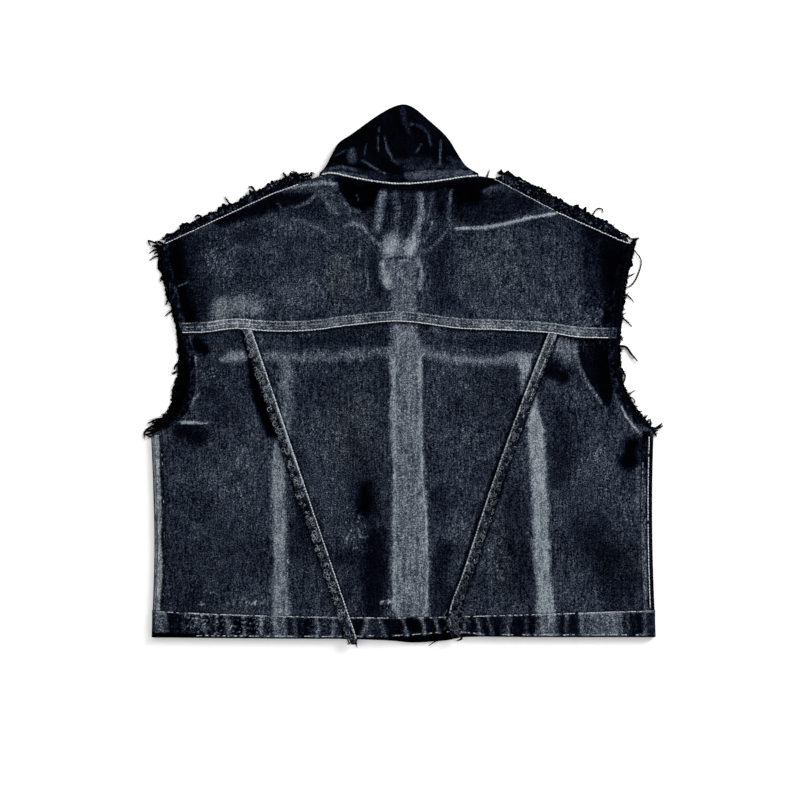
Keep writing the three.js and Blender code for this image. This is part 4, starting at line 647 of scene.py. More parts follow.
def seam_ripples(x, y):
    """Short ripples square to each seam, as the stitching draws them up, from -1 to 1."""
    side = np.where(x < 0, LEFT.strip_x(y), RIGHT.strip_x(y))
    total = np.zeros(np.shape(x))
    lower = 1 - smooth(y, 44, 50)
    rows = (
        (x, y - yoke_seam(x), 1.0, 1), (x, y - waist_seam(x), 1.0, 2), (y, x - side, lower, 3),
        (y, inside_edge(x, y), 1.0, 4),
    )
    for along, away, strength, seed in rows:
        ripple = signed_cloud(along, away * 0.3, 6.5, seed)
        total = total + strength * ripple * bell(away, 0, 11)
    return total


def band_height(x):
    rise = smooth(x, PLACKET_LEFT - 30, PLACKET_LEFT) * (1 - smooth(x, PLACKET_RIGHT, PLACKET_RIGHT + 30))
    return BAND_HEIGHT + BAND_RIDGE * rise


def back_height(x, y):
    """Outer face of the back: an even lift, long waves, the placket pressing through, folds,
    the rise to the waistband and the neck, and the fall to raw edges."""
    underarm = np.where(x < 0, LEFT.underarm, RIGHT.underarm)
    from_edge = inside_edge(x, y)
    from_shoulder = np.where((x < NECK_LEFT) | (x > NECK_RIGHT), yoke_top(x) - y, 1000.0)
    calm = smooth(from_edge, 4, 40) * smooth(from_shoulder, 4, 40) * smooth(y, -255, -215)
    waves = 0.35 * np.sin(x / 43 + 0.7) * np.sin(y / 57 + 0.4) + 0.3 * np.sin(x / 71 - y / 64)
    across = smooth(x, PLACKET_LEFT - 26, PLACKET_LEFT + 2)
    across = across * (1 - smooth(x, PLACKET_RIGHT - 2, PLACKET_RIGHT + 26))
    placket = PLACKET_RIDGE * across * (1 - smooth(y, 128, 168))
    neck = (NECK_HEIGHT - BACK_HEIGHT) * smooth(y, 165, 212) * smooth(x, NECK_LEFT - 20, NECK_LEFT + 30)
    neck = neck * (1 - smooth(x, NECK_RIGHT - 30, NECK_RIGHT + 20))
    waist = (band_height(x) - BACK_HEIGHT - placket) * (1 - smooth(y, -268, -254))
    edges = 2 - smooth(from_edge, 0, 28) - smooth(from_shoulder, 0, 24)
    drop = ARMHOLE_DROP * np.minimum(edges, 1) * smooth(y, underarm, underarm + 14)
    return BACK_HEIGHT + calm * (waves + folds_at(FOLDS, x, y)) + placket + neck + waist - drop


def cloth_height(x, y):
    """The back's outer face with its small creases and the ripples beside the seams."""
    strength = bpy.context.scene.vest_cloth.crease
    inside = smooth(inside_edge(x, y), 3, 18) * smooth(yoke_top(x) - y, 1, 12)
    small = creases_at(CREASES, MARKS, x, y) + 0.5 * (cloud(x, y, 19, 5) - 0.5)
    return back_height(x, y) + strength * (inside * small + 0.28 * seam_ripples(x, y))


def collar_free(x):
    left = smooth(x, COLLAR_FOLD_LEFT - 4, COLLAR_FOLD_LEFT + 18)
    return left * (1 - smooth(x, COLLAR_FOLD_RIGHT - 16, COLLAR_FOLD_RIGHT + 4))


def collar_height(x, y):
    """From the neck seam up over the bulge of the leaf to the fold or the free edge."""
    share = np.clip((y - neck_seam(x)) / (collar_top(x) - neck_seam(x)), 0, 1)
    edge = lerp(COLLAR_FOLD_HEIGHT, COLLAR_EDGE_HEIGHT, collar_free(x))
    seam = back_height(x, neck_seam(x)) + 0.4
    bulge = COLLAR_BULGE * share * (1 - share) * smooth(collar_top(x) - neck_seam(x), 10, 60)
    calm = smooth(share, 0.05, 0.3) * (1 - smooth(share, 0.7, 0.95))
    small = bpy.context.scene.vest_cloth.crease * creases_at(COLLAR_CREASES, COLLAR_MARKS, x, y)
    return lerp(seam, edge, smooth(share, 0, 1)) + bulge + calm * (folds_at(COLLAR_FOLDS, x, y) + small)


def stand_top(x):
    return np.minimum(STAND_WIDTH, 0.45 * (collar_top(x) - neck_seam(x)))


# Wear and colour.
def marked(wear, marks, x, y):
    """Each mark draws the tone towards its own level, inside an edge that wanders; some marks are fades and
    some are painted shade.
    """
    low_x, high_x, low_y, high_y = x.min(), x.max(), y.min(), y.max()
    for _, level, hold, softness, points in marks:
        reach = 3 * max(point[2] for point in points)
        xs = [point[0] for point in points]
        ys = [point[1] for point in points]
        if min(xs) > high_x + reach or max(xs) < low_x - reach:
            continue
        if min(ys) > high_y + reach or max(ys) < low_y - reach:
            continue
        wander = (cloud(x, y, 11, 11) - 0.5) * 0.45 + (cloud(x, y, 3.5, 12) - 0.5) * 0.25
        away = path_distance(x, y, points) + wander * min(1, 0.35 + softness)
        inside = 1 - smooth(away, 1 - softness, 1 + 0.8 * softness)
        wear = lerp(wear, level, hold * inside)
    return wear


def mottled(wear, x, y, strength=1.0):
    """Blotches and short upright streaks, weaker where the cloth is black."""
    share = bpy.context.scene.vest_cloth.mottle * strength * (0.1 + 0.9 * smooth(wear, 0.03, 0.35))
    blotch = 0.1 * (cloud(x, y, 7, 21) - 0.5) + 0.16 * (cloud(x, y, 2.4, 22) - 0.5)
    streak = 0.2 * (cloud(x, y / 9, 2.2, 23) - 0.5) * smooth(wear, 0.3, 0.7)
    return wear + share * (blotch + streak)


def raw_edge_band(wear, x, y):
    """The turned raw allowance along the back armholes: streaked grey with a pale inner line."""
    for side in SIDES:
        away = side.sign * (side.back_armhole(y) - x)
        high = smooth(y, side.underarm + 2, side.underarm + 10)
        width = RAW_BAND + 2.5 * (cloud(y, x * 0, 16, 31) - 0.5)
        band = high * smooth(away, -2, 0) * (1 - smooth(away, width - 0.8, width + 0.4))
        line = high * bell(away, width, 0.9) * smooth(cloud(y, x * 0, 11, 32), 0.25, 0.6)
        # On the right the band darkens above the yoke seam, continuing the painted shade beside the right
        # armhole.
        grey = 0.22 if side.sign < 0 else 0.22 * (1 - 0.85 * smooth(y, 48, 62))
        wear = lerp(wear, grey * smooth(cloud(x, y, 2.2, 33), 0.3, 0.9), 0.92 * band)
        wear = lerp(wear, 0.5, (0.6 if side.sign < 0 else 0.25) * line)
    return wear


def strip_shade(wear, x, y):
    """The shadow line the slanting strips leave beside them on the cloth below."""
    for side in SIDES:
        away = side.sign * (x - side.strip_x(np.clip(y, side.strip_tip, 50)))
        along = smooth(y, side.strip_tip + 10, side.strip_tip + 30) * (1 - smooth(y, 44, 50))
        outside = bell(away, STRIP_WIDTH + 1.8, 2)
        inside = smooth(away, -7 if side.sign > 0 else -3, 0) * (away < 4)
        wear = wear * (1 - along * np.maximum(outside, (0.8 if side.sign > 0 else 0.5) * inside))
    return wear


# The back's tone: wear and marks, with painted shade from some marks, from the strips' shadow lines and below
# the yoke seam.
def back_wear_and_shade(x, y, base=0.265, strength=1.0):
    wear = base + 0.12 * (cloud(x, y, 75, 41) - 0.5) + 0.1 * (cloud(x, y, 26, 42) - 0.5)
    wear = marked(wear, MARKS, x, y)
    fleck = smooth(cloud(x, y, 1.5, 47), 0.62, 0.86)
    wear = wear + fleck * blots(FLECKS, x, y)
    wear = strip_shade(raw_edge_band(wear, x, y), x, y)
    # Painted shadow: a thin dark line just below the yoke seam, under the edge of the seam band.
    below = yoke_seam(x) - y
    wear = wear * (1 - 0.9 * bell(below, 1.1, 1.1))
    wear = wear + 0.1 * seam_ripples(x, y) * smooth(wear, 0.05, 0.3)
    return mottled(wear, x, y, strength)


# Meshes.
def wall(outer, inner):
    """A closed wall between two (rows, columns, 3) grids, with x rising along the columns."""
    rows, columns, _ = outer.shape
    place = np.arange(rows * columns).reshape(rows, columns)
    under = place + rows * columns

    def cells(grid):
        return np.stack((grid[:-1, :-1], grid[:-1, 1:], grid[1:, 1:], grid[1:, :-1]), -1).reshape(-1, 4)

    rim = np.concatenate((place[0, :-1], place[:-1, -1], place[-1, :0:-1], place[:0:-1, 0]))
    following = np.roll(rim, -1)
    edge = np.stack((rim, rim + rows * columns, following + rows * columns, following), -1)
    faces = np.concatenate((cells(place), cells(under)[:, ::-1], edge))
    soft = np.arange(len(faces)) < len(faces) - len(edge)
    return np.concatenate((outer.reshape(-1, 3), inner.reshape(-1, 3))), faces, soft


def between_rings(rings, sides):
    """The places of each ring's corners and of the corner beside each, but for the last ring."""
    start = (np.arange(rings - 1) * sides)[:, None]
    return start + np.arange(sides), start + (np.arange(sides) + 1) % sides


def tubes(paths, radii, sides=YARN_SIDES):
    """Tubes along (n, k, 3) paths: each ring is centre + r (cos a · aside + sin a · up)."""
    count, length, _ = paths.shape
    along = np.gradient(paths, axis=1)
    along = along / np.maximum(np.linalg.norm(along, axis=2, keepdims=True), 1e-9)
    aside = np.cross(along, (0.0, 0.0, 1.0))
    aside = aside / np.maximum(np.linalg.norm(aside, axis=2, keepdims=True), 1e-9)
    up = np.cross(aside, along)
    turn = 2 * np.pi * np.arange(sides) / sides
    ring = np.cos(turn)[:, None] * aside[:, :, None] + np.sin(turn)[:, None] * up[:, :, None]
    points = (paths[:, :, None] + radii[:, :, None, None] * ring).reshape(-1, 3)
    here, beside = between_rings(length, sides)
    one = np.stack((here, here + sides, beside + sides), -1).reshape(-1, 3)
    two = np.stack((here, beside + sides, beside), -1).reshape(-1, 3)
    fan = np.array([(0, i + 1, i + 2) for i in range(sides - 2)])
    end = fan[:, ::-1] + (length - 1) * sides
    faces = np.concatenate((one, two, fan, end))
    shift = (np.arange(count) * length * sides)[:, None, None]
    return points, (faces + shift).reshape(-1, 3)


def make_piece(name, points, faces, material, slot, nodes=(), wear=None, tint=None, soft=None):
    """A mesh object from arrays in millimetres, with its tone (wear, and on some pieces painted shade and
    highlights) and tint kept on its points.
    """
    mesh = bpy.data.meshes.new(name)
    mesh.vertices.add(len(points))
    mesh.vertices.foreach_set("co", (points * MM).astype(np.float32).ravel())
    mesh.loops.add(faces.size)
    mesh.loops.foreach_set("vertex_index", faces.astype(np.int32).ravel())
    mesh.polygons.add(len(faces))
    mesh.polygons.foreach_set("loop_start", (np.arange(len(faces)) * faces.shape[1]).astype(np.int32))
    mesh.polygons.foreach_set("use_smooth", np.ones(len(faces), bool) if soft is None else soft)
    mesh.update(calc_edges=True)
    for layer, values in (("wear", wear), ("tint", tint)):
        held = np.zeros(len(points)) if values is None else values
        mesh.attributes.new(layer, "FLOAT", "POINT").data.foreach_set("value", held.astype(np.float32))
    mesh.materials.append(material)
    piece = bpy.data.objects.new(name, mesh)
    bpy.context.scene.collection.objects.link(piece)
    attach(piece, "root")
    if nodes:
        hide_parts(*nodes)
    return piece


SHEETS = {}


def spread(grid, axis):
    """The longest row or column of a grid of points, measured along the cloth."""
    return np.linalg.norm(np.diff(grid, axis=axis), axis=2).sum(axis=axis).max()


def wall_piece(node, outer, inner, wear, finish, slot, tint=None):
    """A closed wall of cloth that stands for a node."""
    points, faces, soft = wall(outer, inner)
    tints = None if tint is None else np.tile(tint.ravel(), 2)
    return make_piece(
        f"{node}_cloth", points, faces, finish_named(finish), slot, (node,), np.tile(wear.ravel(), 2),
        tints, soft,
    )


def cloth_piece(node, outer, inner, wear, finish, slot, rests_on, tint=None):
    """A wall of cloth in a node's place, with the flat size of its outer face noted."""
    piece = wall_piece(node, outer, inner, wear, finish, slot, tint)
    across = outer[:-1, 1:] - outer[:-1, :-1]
    upward = outer[1:, :-1] - outer[:-1, :-1]
    area = np.linalg.norm(np.cross(across, upward), axis=2).sum()
    SHEETS[node] = SimpleNamespace(
        piece=piece, width=spread(outer, 1) * MM, length=spread(outer, 0) * MM, area=area * MM * MM,
        rests_on=rests_on, with_pieces=[],
    )
    return piece


def shares(length, cell=None):
    """Even shares from 0 to 1 for a length in millimetres at the cloth's cell size."""
    step = cell or bpy.context.scene.vest_cloth.cell / MM
    return np.linspace(0, 1, max(3, int(round(length / step)) + 1))


def panel_grid(across, upward, left, right, bottom, top):
    """Points at even shares between two side lines and two cross seams: x and y are settled
    together by going over them a few times."""
    u, v = np.meshgrid(across, upward)
    y = lerp(PANEL_LOW, PANEL_HIGH, v)
    for _ in range(SETTLING_ROUNDS):
        x = lerp(left(y), right(y), u)
        y = lerp(bottom(x), top(x), v)
    return x, y


def layer(x, y, z, ply):
    return np.stack((x, y, z), -1), np.stack((x, y, z - ply), -1)


def turned(edge_x, edge_y, inward, turn, flat, foot, ply):
    """A quarter turn down from flat to foot: outer and inner points at each angle, across x."""
    radius = flat - foot
    faces = []
    for r in (radius, radius - ply):
        x = edge_x + inward * (radius - r * np.cos(turn))
        faces.append(np.stack((x, edge_y + 0 * x, foot + r * np.sin(turn)), -1))
    return faces


# Materials.
def colour_of(red, green, blue):
    """A screen colour of 0 to 255 as the shader's own linear one."""
    screen = np.array((red, green, blue)) / 255
    return tuple(np.where(screen <= 0.04045, screen / 12.92, ((screen + 0.055) / 1.055) ** 2.4))


class Signal:
    """A shader socket with sums written as Python expressions."""

    def __init__(self, recipe, socket):
        self.recipe = recipe
        self.socket = socket

    def maths(self, operation, *terms):
        settings = {"operation": operation}
        return self.recipe.node("ShaderNodeMath", settings, dict(enumerate(terms)))

    def __add__(self, other):
        return self.maths("ADD", self, other)

    __radd__ = __add__

    def __sub__(self, other):
        return self.maths("SUBTRACT", self, other)

    def __rsub__(self, other):
        return self.maths("SUBTRACT", other, self)

    def __mul__(self, other):
        return self.maths("MULTIPLY", self, other)

    __rmul__ = __mul__

    def clipped(self):
        return self.maths("MINIMUM", self.maths("MAXIMUM", self, 0.0), 1.0)


class Recipe:
    """A material and the nodes that make it."""

    def __init__(self, name):
        self.material = bpy.data.materials.new(name)
        self.material.use_nodes = True
        self.tree = self.material.node_tree
        self.shader = self.tree.nodes["Principled BSDF"]

    def node(self, kind, settings=None, inputs=None, output=0):
        made = self.tree.nodes.new(kind)
        for name, value in (settings or {}).items():
            if name == "stops":
                self.set_stops(made.color_ramp.elements, value)
            else:
                setattr(made, name, value)
        for key, value in (inputs or {}).items():
            self.feed(made.inputs[key], value)
        return Signal(self, made.outputs[output])

    def on_points(self, name):
        """A value kept on the mesh's points."""
        return self.node("ShaderNodeAttribute", {"attribute_name": name}, output="Fac")

    def ramp(self, stops, amount):
        return self.node("ShaderNodeValToRGB", {"stops": stops}, {"Fac": amount.clipped()}, "Color")

    def bump(self, height, strength, distance):
        settings = {"Height": height, "Strength": strength, "Distance": distance}
        return self.node("ShaderNodeBump", None, settings)

    def feed(self, socket, value):
        if isinstance(value, Signal):
            self.tree.links.new(value.socket, socket)
        else:
            socket.default_value = value

    def set_stops(self, elements, stops):
        elements.remove(elements[-1])
        elements[0].position, elements[0].color = stops[0][0], (*stops[0][1], 1)
        for position, colour in stops[1:]:
            elements.new(position).color = (*colour, 1)

    def finish(self, **sockets):
        for name, value in sockets.items():
            self.feed(self.shader.inputs[name.replace("_", " ")], value)
        return self.material


def place_in_cloth(recipe, scale, turn=0.0):
    """Object coordinates, stretched and turned for one layer of the weave."""
    place = recipe.node("ShaderNodeTexCoord", output="Object")
    turned_by = {"Vector": place, "Scale": scale, "Rotation": (0, 0, np.radians(turn))}
    return recipe.node("ShaderNodeMapping", None, turned_by)


def speckle(recipe, scale, detail=2.0):
    """Noise round 0 at a scale in grains per metre, which may differ along the cloth."""
    place = place_in_cloth(recipe, scale)
    return recipe.node("ShaderNodeTexNoise", None, {"Vector": place, "Scale": 1.0, "Detail": detail}) - 0.5


def denim(name, turn=63.0, grain=1.0, relief=1.0):
    """Worn black denim: the tone on the points, which holds the wear and on some pieces painted shade
    and painted highlights, picks the colour, broken up by salt-and-pepper grain, upright slubs and
    fine twill, and patches that have gone greenish grey."""
    colours = bpy.context.scene.vest_colours
    strength = grain * bpy.context.scene.vest_cloth.grain
    recipe = Recipe(name)
    wear = recipe.on_points("wear")
    tint = recipe.on_points("tint")
    salt = speckle(recipe, (640, 600, 640), 1.0)
    fine = speckle(recipe, (1100, 1100, 1100), 1.0)
    slub = speckle(recipe, (620, 70, 620), 1.0)
    open_cloth = (wear * 2.6 + 0.05).clipped() * (1.15 - wear * 0.72)
    broken = wear + open_cloth * strength * (salt * 1.5 + fine * 1.6 + slub * 0.7)
    shades = (
        (0.0, colours.hollow), (0.14, colours.ink), (0.3, colours.navy), (0.6, colours.worn),
        (0.8, colours.pale), (1.0, colours.bare),
    )
    shade = recipe.ramp(shades, broken)
    stained = {"data_type": "RGBA", "blend_type": "MULTIPLY"}
    shade = recipe.node("ShaderNodeMix", stained, {0: tint, 6: shade, 7: (*colours.patch, 1)}, 2)
    twill_place = place_in_cloth(recipe, (1, 1, 1), turn)
    twill_at = {"Vector": twill_place, "Scale": 270.0}
    twill = recipe.node("ShaderNodeTexWave", {"bands_direction": "X"}, twill_at)
    height = twill * 0.5 + salt * 0.9 + slub * 0.5
    return recipe.finish(
        Base_Color=shade, Roughness=0.93 + salt * 0.1, Normal=recipe.bump(height, 0.55 * relief, 0.0006),
        Specular_IOR_Level=0.0,
    )


def yarn_finish(name, dark, pale, roughness=0.9, middle=None):
    """Spun cotton: the shade of each strand comes from its points, with fine flecks along it."""
    recipe = Recipe(name)
    wear = recipe.on_points("wear")
    fleck = speckle(recipe, (1500, 1500, 1500))
    stops = ((0.0, dark), (0.35, middle), (1.0, pale)) if middle else ((0.0, dark), (1.0, pale))
    return recipe.finish(
        Base_Color=recipe.ramp(stops, wear + fleck * 0.35), Roughness=roughness + fleck * 0.1,
        Normal=recipe.bump(fleck, 0.4, 0.0003), Specular_IOR_Level=0.01,
    )


def tack_metal(name):
    """Blackened shank-button metal, rubbed on its raised rings and slightly pitted."""
    recipe = Recipe(name)
    wear = recipe.on_points("wear")
    pits = speckle(recipe, (700, 700, 700), 4.0)
    stops = ((0.0, colour_of(28, 29, 32)), (1.0, colour_of(150, 150, 148)))
    return recipe.finish(
        Base_Color=recipe.ramp(stops, wear + pits * 0.3), Metallic=0.9, Roughness=0.42 + pits * 0.25,
        Normal=recipe.bump(pits, 0.25, 0.0003),
    )


def finish_named(name):
    """The finish of that name, made once."""
    colours = bpy.context.scene.vest_colours
    makers = {
        "back denim": lambda: denim(name),
        "front denim": lambda: denim(name, turn=117.0),
        "collar denim": lambda: denim(name, turn=27.0, grain=0.7),
        "seam denim": lambda: denim(name, turn=117.0, grain=1.1, relief=1.3),
        "raw denim": lambda: denim(name, turn=90.0, grain=1.25, relief=1.5),
        "sewing thread": lambda: yarn_finish(name, colours.navy, colours.thread, 0.75),
        "loose yarn": lambda: yarn_finish(name, colours.hollow, colours.bare, middle=colours.navy),
        "tack metal": lambda: tack_metal(name),
    }
    return bpy.data.materials.get(name) or makers[name]()


# Pieces of the back.
class VEST_OT_yoke(bpy.types.Operator):
    """Back yoke from shoulder to shoulder, with its felled seam lying on it."""
    bl_idname = "vest.yoke"
    bl_label = "Yoke"

    def execute(self, context):
        x, y = panel_grid(
            shares(516), shares(172), LEFT.back_armhole, RIGHT.back_armhole,
            lambda at: yoke_seam(at) + HALF_GAP, lambda at: yoke_top(at) - HALF_GAP,
        )
        outer, inner = layer(x, y, cloth_height(x, y), PLY)
        cloth_piece(
            "back_yoke", outer, inner, back_wear_and_shade(x, y), "back denim", "denim",
            ["front_left", "front_right"], blots(TINTS, x, y),
        )
        x, y = panel_grid(
            shares(480, 1.3), shares(YOKE_BAND, 1.0), LEFT.back_armhole, RIGHT.back_armhole,
            lambda at: yoke_seam(at) + HALF_GAP, lambda at: yoke_seam(at) + YOKE_BAND,
        )
        up = y - yoke_seam(x)
        ropes = signed_cloud(x * 0.94 + up * 0.5, up * 0.35, 4.6, 51)
        welts = bell(up, 6.4, 1.5) + bell(up, 1.2, 1.2)
        z = cloth_height(x, y) + SEAM_GAP + STRIP_PLY + 0.2 * ropes - 0.25 * welts
        outer, inner = layer(x, y, z, STRIP_PLY)
        ribs = np.cos(2 * np.pi * (up - 1) / 3.3)
        wear = lerp(marked(np.full(x.shape, 0.34), MARKS, x, y), 0.64, 0.52) + 0.13 * ropes + 0.09 * ribs
        wear = wear + 0.14 * smooth(x, 70, 120) + 0.1 * smooth(-x, 140, 180)
        # Painted shade: darker towards both ends, where the cloth curves down to the armholes.
        wear = mottled(wear * lerp(1, 0.55, smooth(np.abs(x), 208, 236)), x, y, 1.5)
        cloth_piece(
            "yoke_seam_band", outer, inner, wear, "seam denim", "denim_seams",
            ["back_yoke"], blots(TINTS, x, y) * 0.5,
        )
        return {"FINISHED"}


class VEST_OT_centre_back(bpy.types.Operator):
    """Centre back panel, tapering from the yoke to the waistband."""
    bl_idname = "vest.centre_back"
    bl_label = "Centre back"

    def execute(self, context):
        x, y = panel_grid(
            shares(320), shares(322), lambda at: LEFT.strip_x(at) + HALF_GAP,
            lambda at: RIGHT.strip_x(at) - HALF_GAP, lambda at: waist_seam(at) + HALF_GAP,
            lambda at: yoke_seam(at) - HALF_GAP,
        )
        outer, inner = layer(x, y, cloth_height(x, y), PLY)
        cloth_piece(
            "back_centre", outer, inner, back_wear_and_shade(x, y), "back denim", "denim",
            ["button_band"], blots(TINTS, x, y),
        )
        return {"FINISHED"}


TURN_CELLS = 8
TURN_ANGLES = np.radians(np.linspace(0, 90, TURN_CELLS))[:-1]
TURN_FADE = 10


def side_panel(side):
    """Side back panel: flat to its side seam, then a quarter turn down below the underarm:
    x = edge + r (1 - cos a), z = foot + r sin a."""
    radius = BACK_HEIGHT - SIDE_FOOT
    reach = abs(side.side_x(PANEL_LOW)) - abs(side.strip_x(PANEL_LOW))
    flat = shares(reach)
    upward = shares(312)

    def across(at, share):
        rolled_in = back_edge(side, at) - side.sign * radius
        return lerp(rolled_in, side.strip_x(at) + side.sign * HALF_GAP, share)

    def bottom(at):
        return waist_seam(at) + HALF_GAP

    def top(at):
        return yoke_seam(at) - HALF_GAP

    def rolled_to(at, turn):
        return back_edge(side, at) - side.sign * radius * (1 - np.cos(turn))

    columns = [lambda at, turn=turn: rolled_to(at, turn) for turn in TURN_ANGLES]
    columns += [lambda at, share=share: across(at, share) for share in flat]
    x = np.empty((len(upward), len(columns)))
    y = np.empty_like(x)
    for i, line in enumerate(columns):
        column_y = lerp(PANEL_LOW, SIDE_PANEL_HIGH, upward)
        for _ in range(SETTLING_ROUNDS):
            column_x = line(column_y)
            column_y = lerp(bottom(column_x), top(column_x), upward)
        x[:, i], y[:, i] = column_x, column_y
    z = cloth_height(x, y)
    outer, inner = layer(x, y, z, PLY)
    turning = np.s_[:, :len(TURN_ANGLES)]
    edge_y = y[turning]
    down = 1 - smooth(edge_y, side.underarm, side.underarm + TURN_FADE)
    edge_x = back_edge(side, edge_y)
    rolled = turned(edge_x, edge_y, -side.sign, TURN_ANGLES, z[turning], SIDE_FOOT, PLY)
    for grid, made in zip((outer, inner), rolled):
        grid[turning] = lerp(grid[turning], made, down[..., None])
    if side.sign > 0:
        return outer[:, ::-1], inner[:, ::-1]
    return outer, inner


class VEST_OT_side_backs(bpy.types.Operator):
    """Side back panels, each with its felled side seam lying just inside the fold."""
    bl_idname = "vest.side_backs"
    bl_label = "Side backs"

    def execute(self, context):
        for side in SIDES:
            outer, inner = side_panel(side)
            x, y = outer[..., 0], outer[..., 1]
            node = f"back_side_{side.name}"
            # Painted shade: the outermost millimetre or so goes dark where the side folds under, below the
            # underarm.
            rim = (1 - smooth(back_edge(side, y) * side.sign - x * side.sign, 0.6, 1.6)) * (y < side.underarm)
            cloth_piece(
                node, outer, inner, back_wear_and_shade(x, y) * (1 - 0.93 * rim), "back denim", "denim",
                [f"front_{side.name}"], blots(TINTS, x, y),
            )
            self.felled_seam(side, node)
        return {"FINISHED"}

    def felled_seam(self, side, node):
        inset = np.linspace(SIDE_SEAM_INSET, SIDE_SEAM_INSET + SIDE_SEAM_WIDTH - SEAM_GAP, 10)
        inset, share = np.meshgrid(inset[::-side.sign], shares(198, 1.6))
        bottom = waist_seam(side.sign * 270.0) + HALF_GAP
        y = lerp(bottom, side.underarm, share)
        x = side.side_x(y) - side.sign * inset
        across = (inset - SIDE_SEAM_INSET) / (SIDE_SEAM_WIDTH - SEAM_GAP)
        ropes = signed_cloud(y + 3 * across, across, 4.4, 52 + side.sign)
        edges = bell(across, 0, 0.16) + bell(across, 0.86, 0.16)
        z = cloth_height(x, y) + SEAM_GAP + STRIP_PLY + 0.22 * ropes - 0.15 * edges
        outer, inner = layer(x, y, z, STRIP_PLY)
        if side.sign < 0:
            ledge = 0.45 + 0.3 * (cloud(y, y * 0, 24, 55) - 0.5)
            wear = mottled(lerp(0.78, 0.12, smooth(across, ledge, ledge + 0.25)) + 0.06 * ropes, x, y)
        else:
            pale = 0.36 * smooth(across, 0.25, 0.6) * (1 - smooth(y, -125, -90))
            wear = mottled(0.1 + 0.1 * ropes + pale, x, y)
        tint = np.full(x.shape, 0.25 if side.sign < 0 else 0.0)
        piece = wall_piece(f"side_seam_{side.name}", outer, inner, wear, "seam denim", "denim_seams", tint)
        SHEETS[node].with_pieces.append(piece)


STRIP_LIFT = 1


def strip_lift(y):
    return SEAM_GAP + STRIP_LIFT * (1 - smooth(y, -264, -246))


def strip_top(x, y):
    return cloth_height(x, y) + strip_lift(y) + PLY


class VEST_OT_raw_strips(bpy.types.Operator):
    """Exposed raw allowances of the two slanting seams, running down over the waistband."""
    bl_idname = "vest.raw_strips"
    bl_label = "Raw strips"

    def execute(self, context):
        for side in SIDES:
            inset, share = np.meshgrid(np.linspace(HALF_GAP, STRIP_WIDTH - HALF_GAP, 14), shares(350, 1.2))
            y = side.strip_tip + (50 - side.strip_tip) * share
            narrowing = 0.35 * (1 - smooth(y, side.strip_tip, side.strip_tip + 14))
            ragged = 1 + 0.1 * (cloud(y, 0 * y, 3.2, 61) - 0.5) * smooth(inset, 5, 10)
            inset = lerp(inset, STRIP_WIDTH / 2, narrowing) * ragged
            x = side.strip_x(y) + side.sign * inset
            top = np.minimum(y, yoke_seam(x) - HALF_GAP)
            y = lerp(y, top, smooth(y, 20, 50))
            across = inset / STRIP_WIDTH
            cords = np.cos((across - 0.12) * 2 * np.pi * 2) * 0.12
            ropes = signed_cloud(y + 4 * across, across * 1.5, 4.2, 62 + side.sign)
            z = strip_top(x, y) + 0.25 * ropes + cords
            outer, inner = layer(x, y, z, PLY)
            wear = self.strip_wear(side, x, y, across, ropes)
            if side.sign < 0:
                outer, inner, wear = outer[:, ::-1], inner[:, ::-1], wear[:, ::-1]
            cloth_piece(
                f"raw_strip_{side.name}", outer, inner, wear, "raw denim", "denim_raw",
                [f"back_side_{side.name}", "waistband_back"],
            )
        return {"FINISHED"}

    def strip_wear(self, side, x, y, across, ropes):
        broad = bell(y, -65, 55) if side.sign < 0 else 0.25 * smooth(y, -262, -250)
        inner_edge = bell(across, 0.12, 0.1 + 0.12 * broad)
        outer_edge = bell(across, 0.85, 0.12)
        specks = smooth(cloud(x, y, 2, 64), 0.5, 0.8)
        high = smooth(y, -30, 36) if side.sign < 0 else smooth(y, -80, 20)
        wear = 0.08 + 0.3 * specks + 0.33 * high + 0.1 * ropes
        wear = wear + (0.26 + 0.5 * broad) * inner_edge + 0.12 * (1 - smooth(across, 0.3, 0.6))
        wear = wear + (0 if side.sign < 0 else 0.1) * outer_edge * (0.5 + 0.6 * ropes)
        bar = path_distance(x, y, ((151, -204, 16), (156, -262, 16)), 0)
        return mottled(wear + 0.1 * (1 - smooth(bar, 0.6, 1.2)), x, y, 1.2)


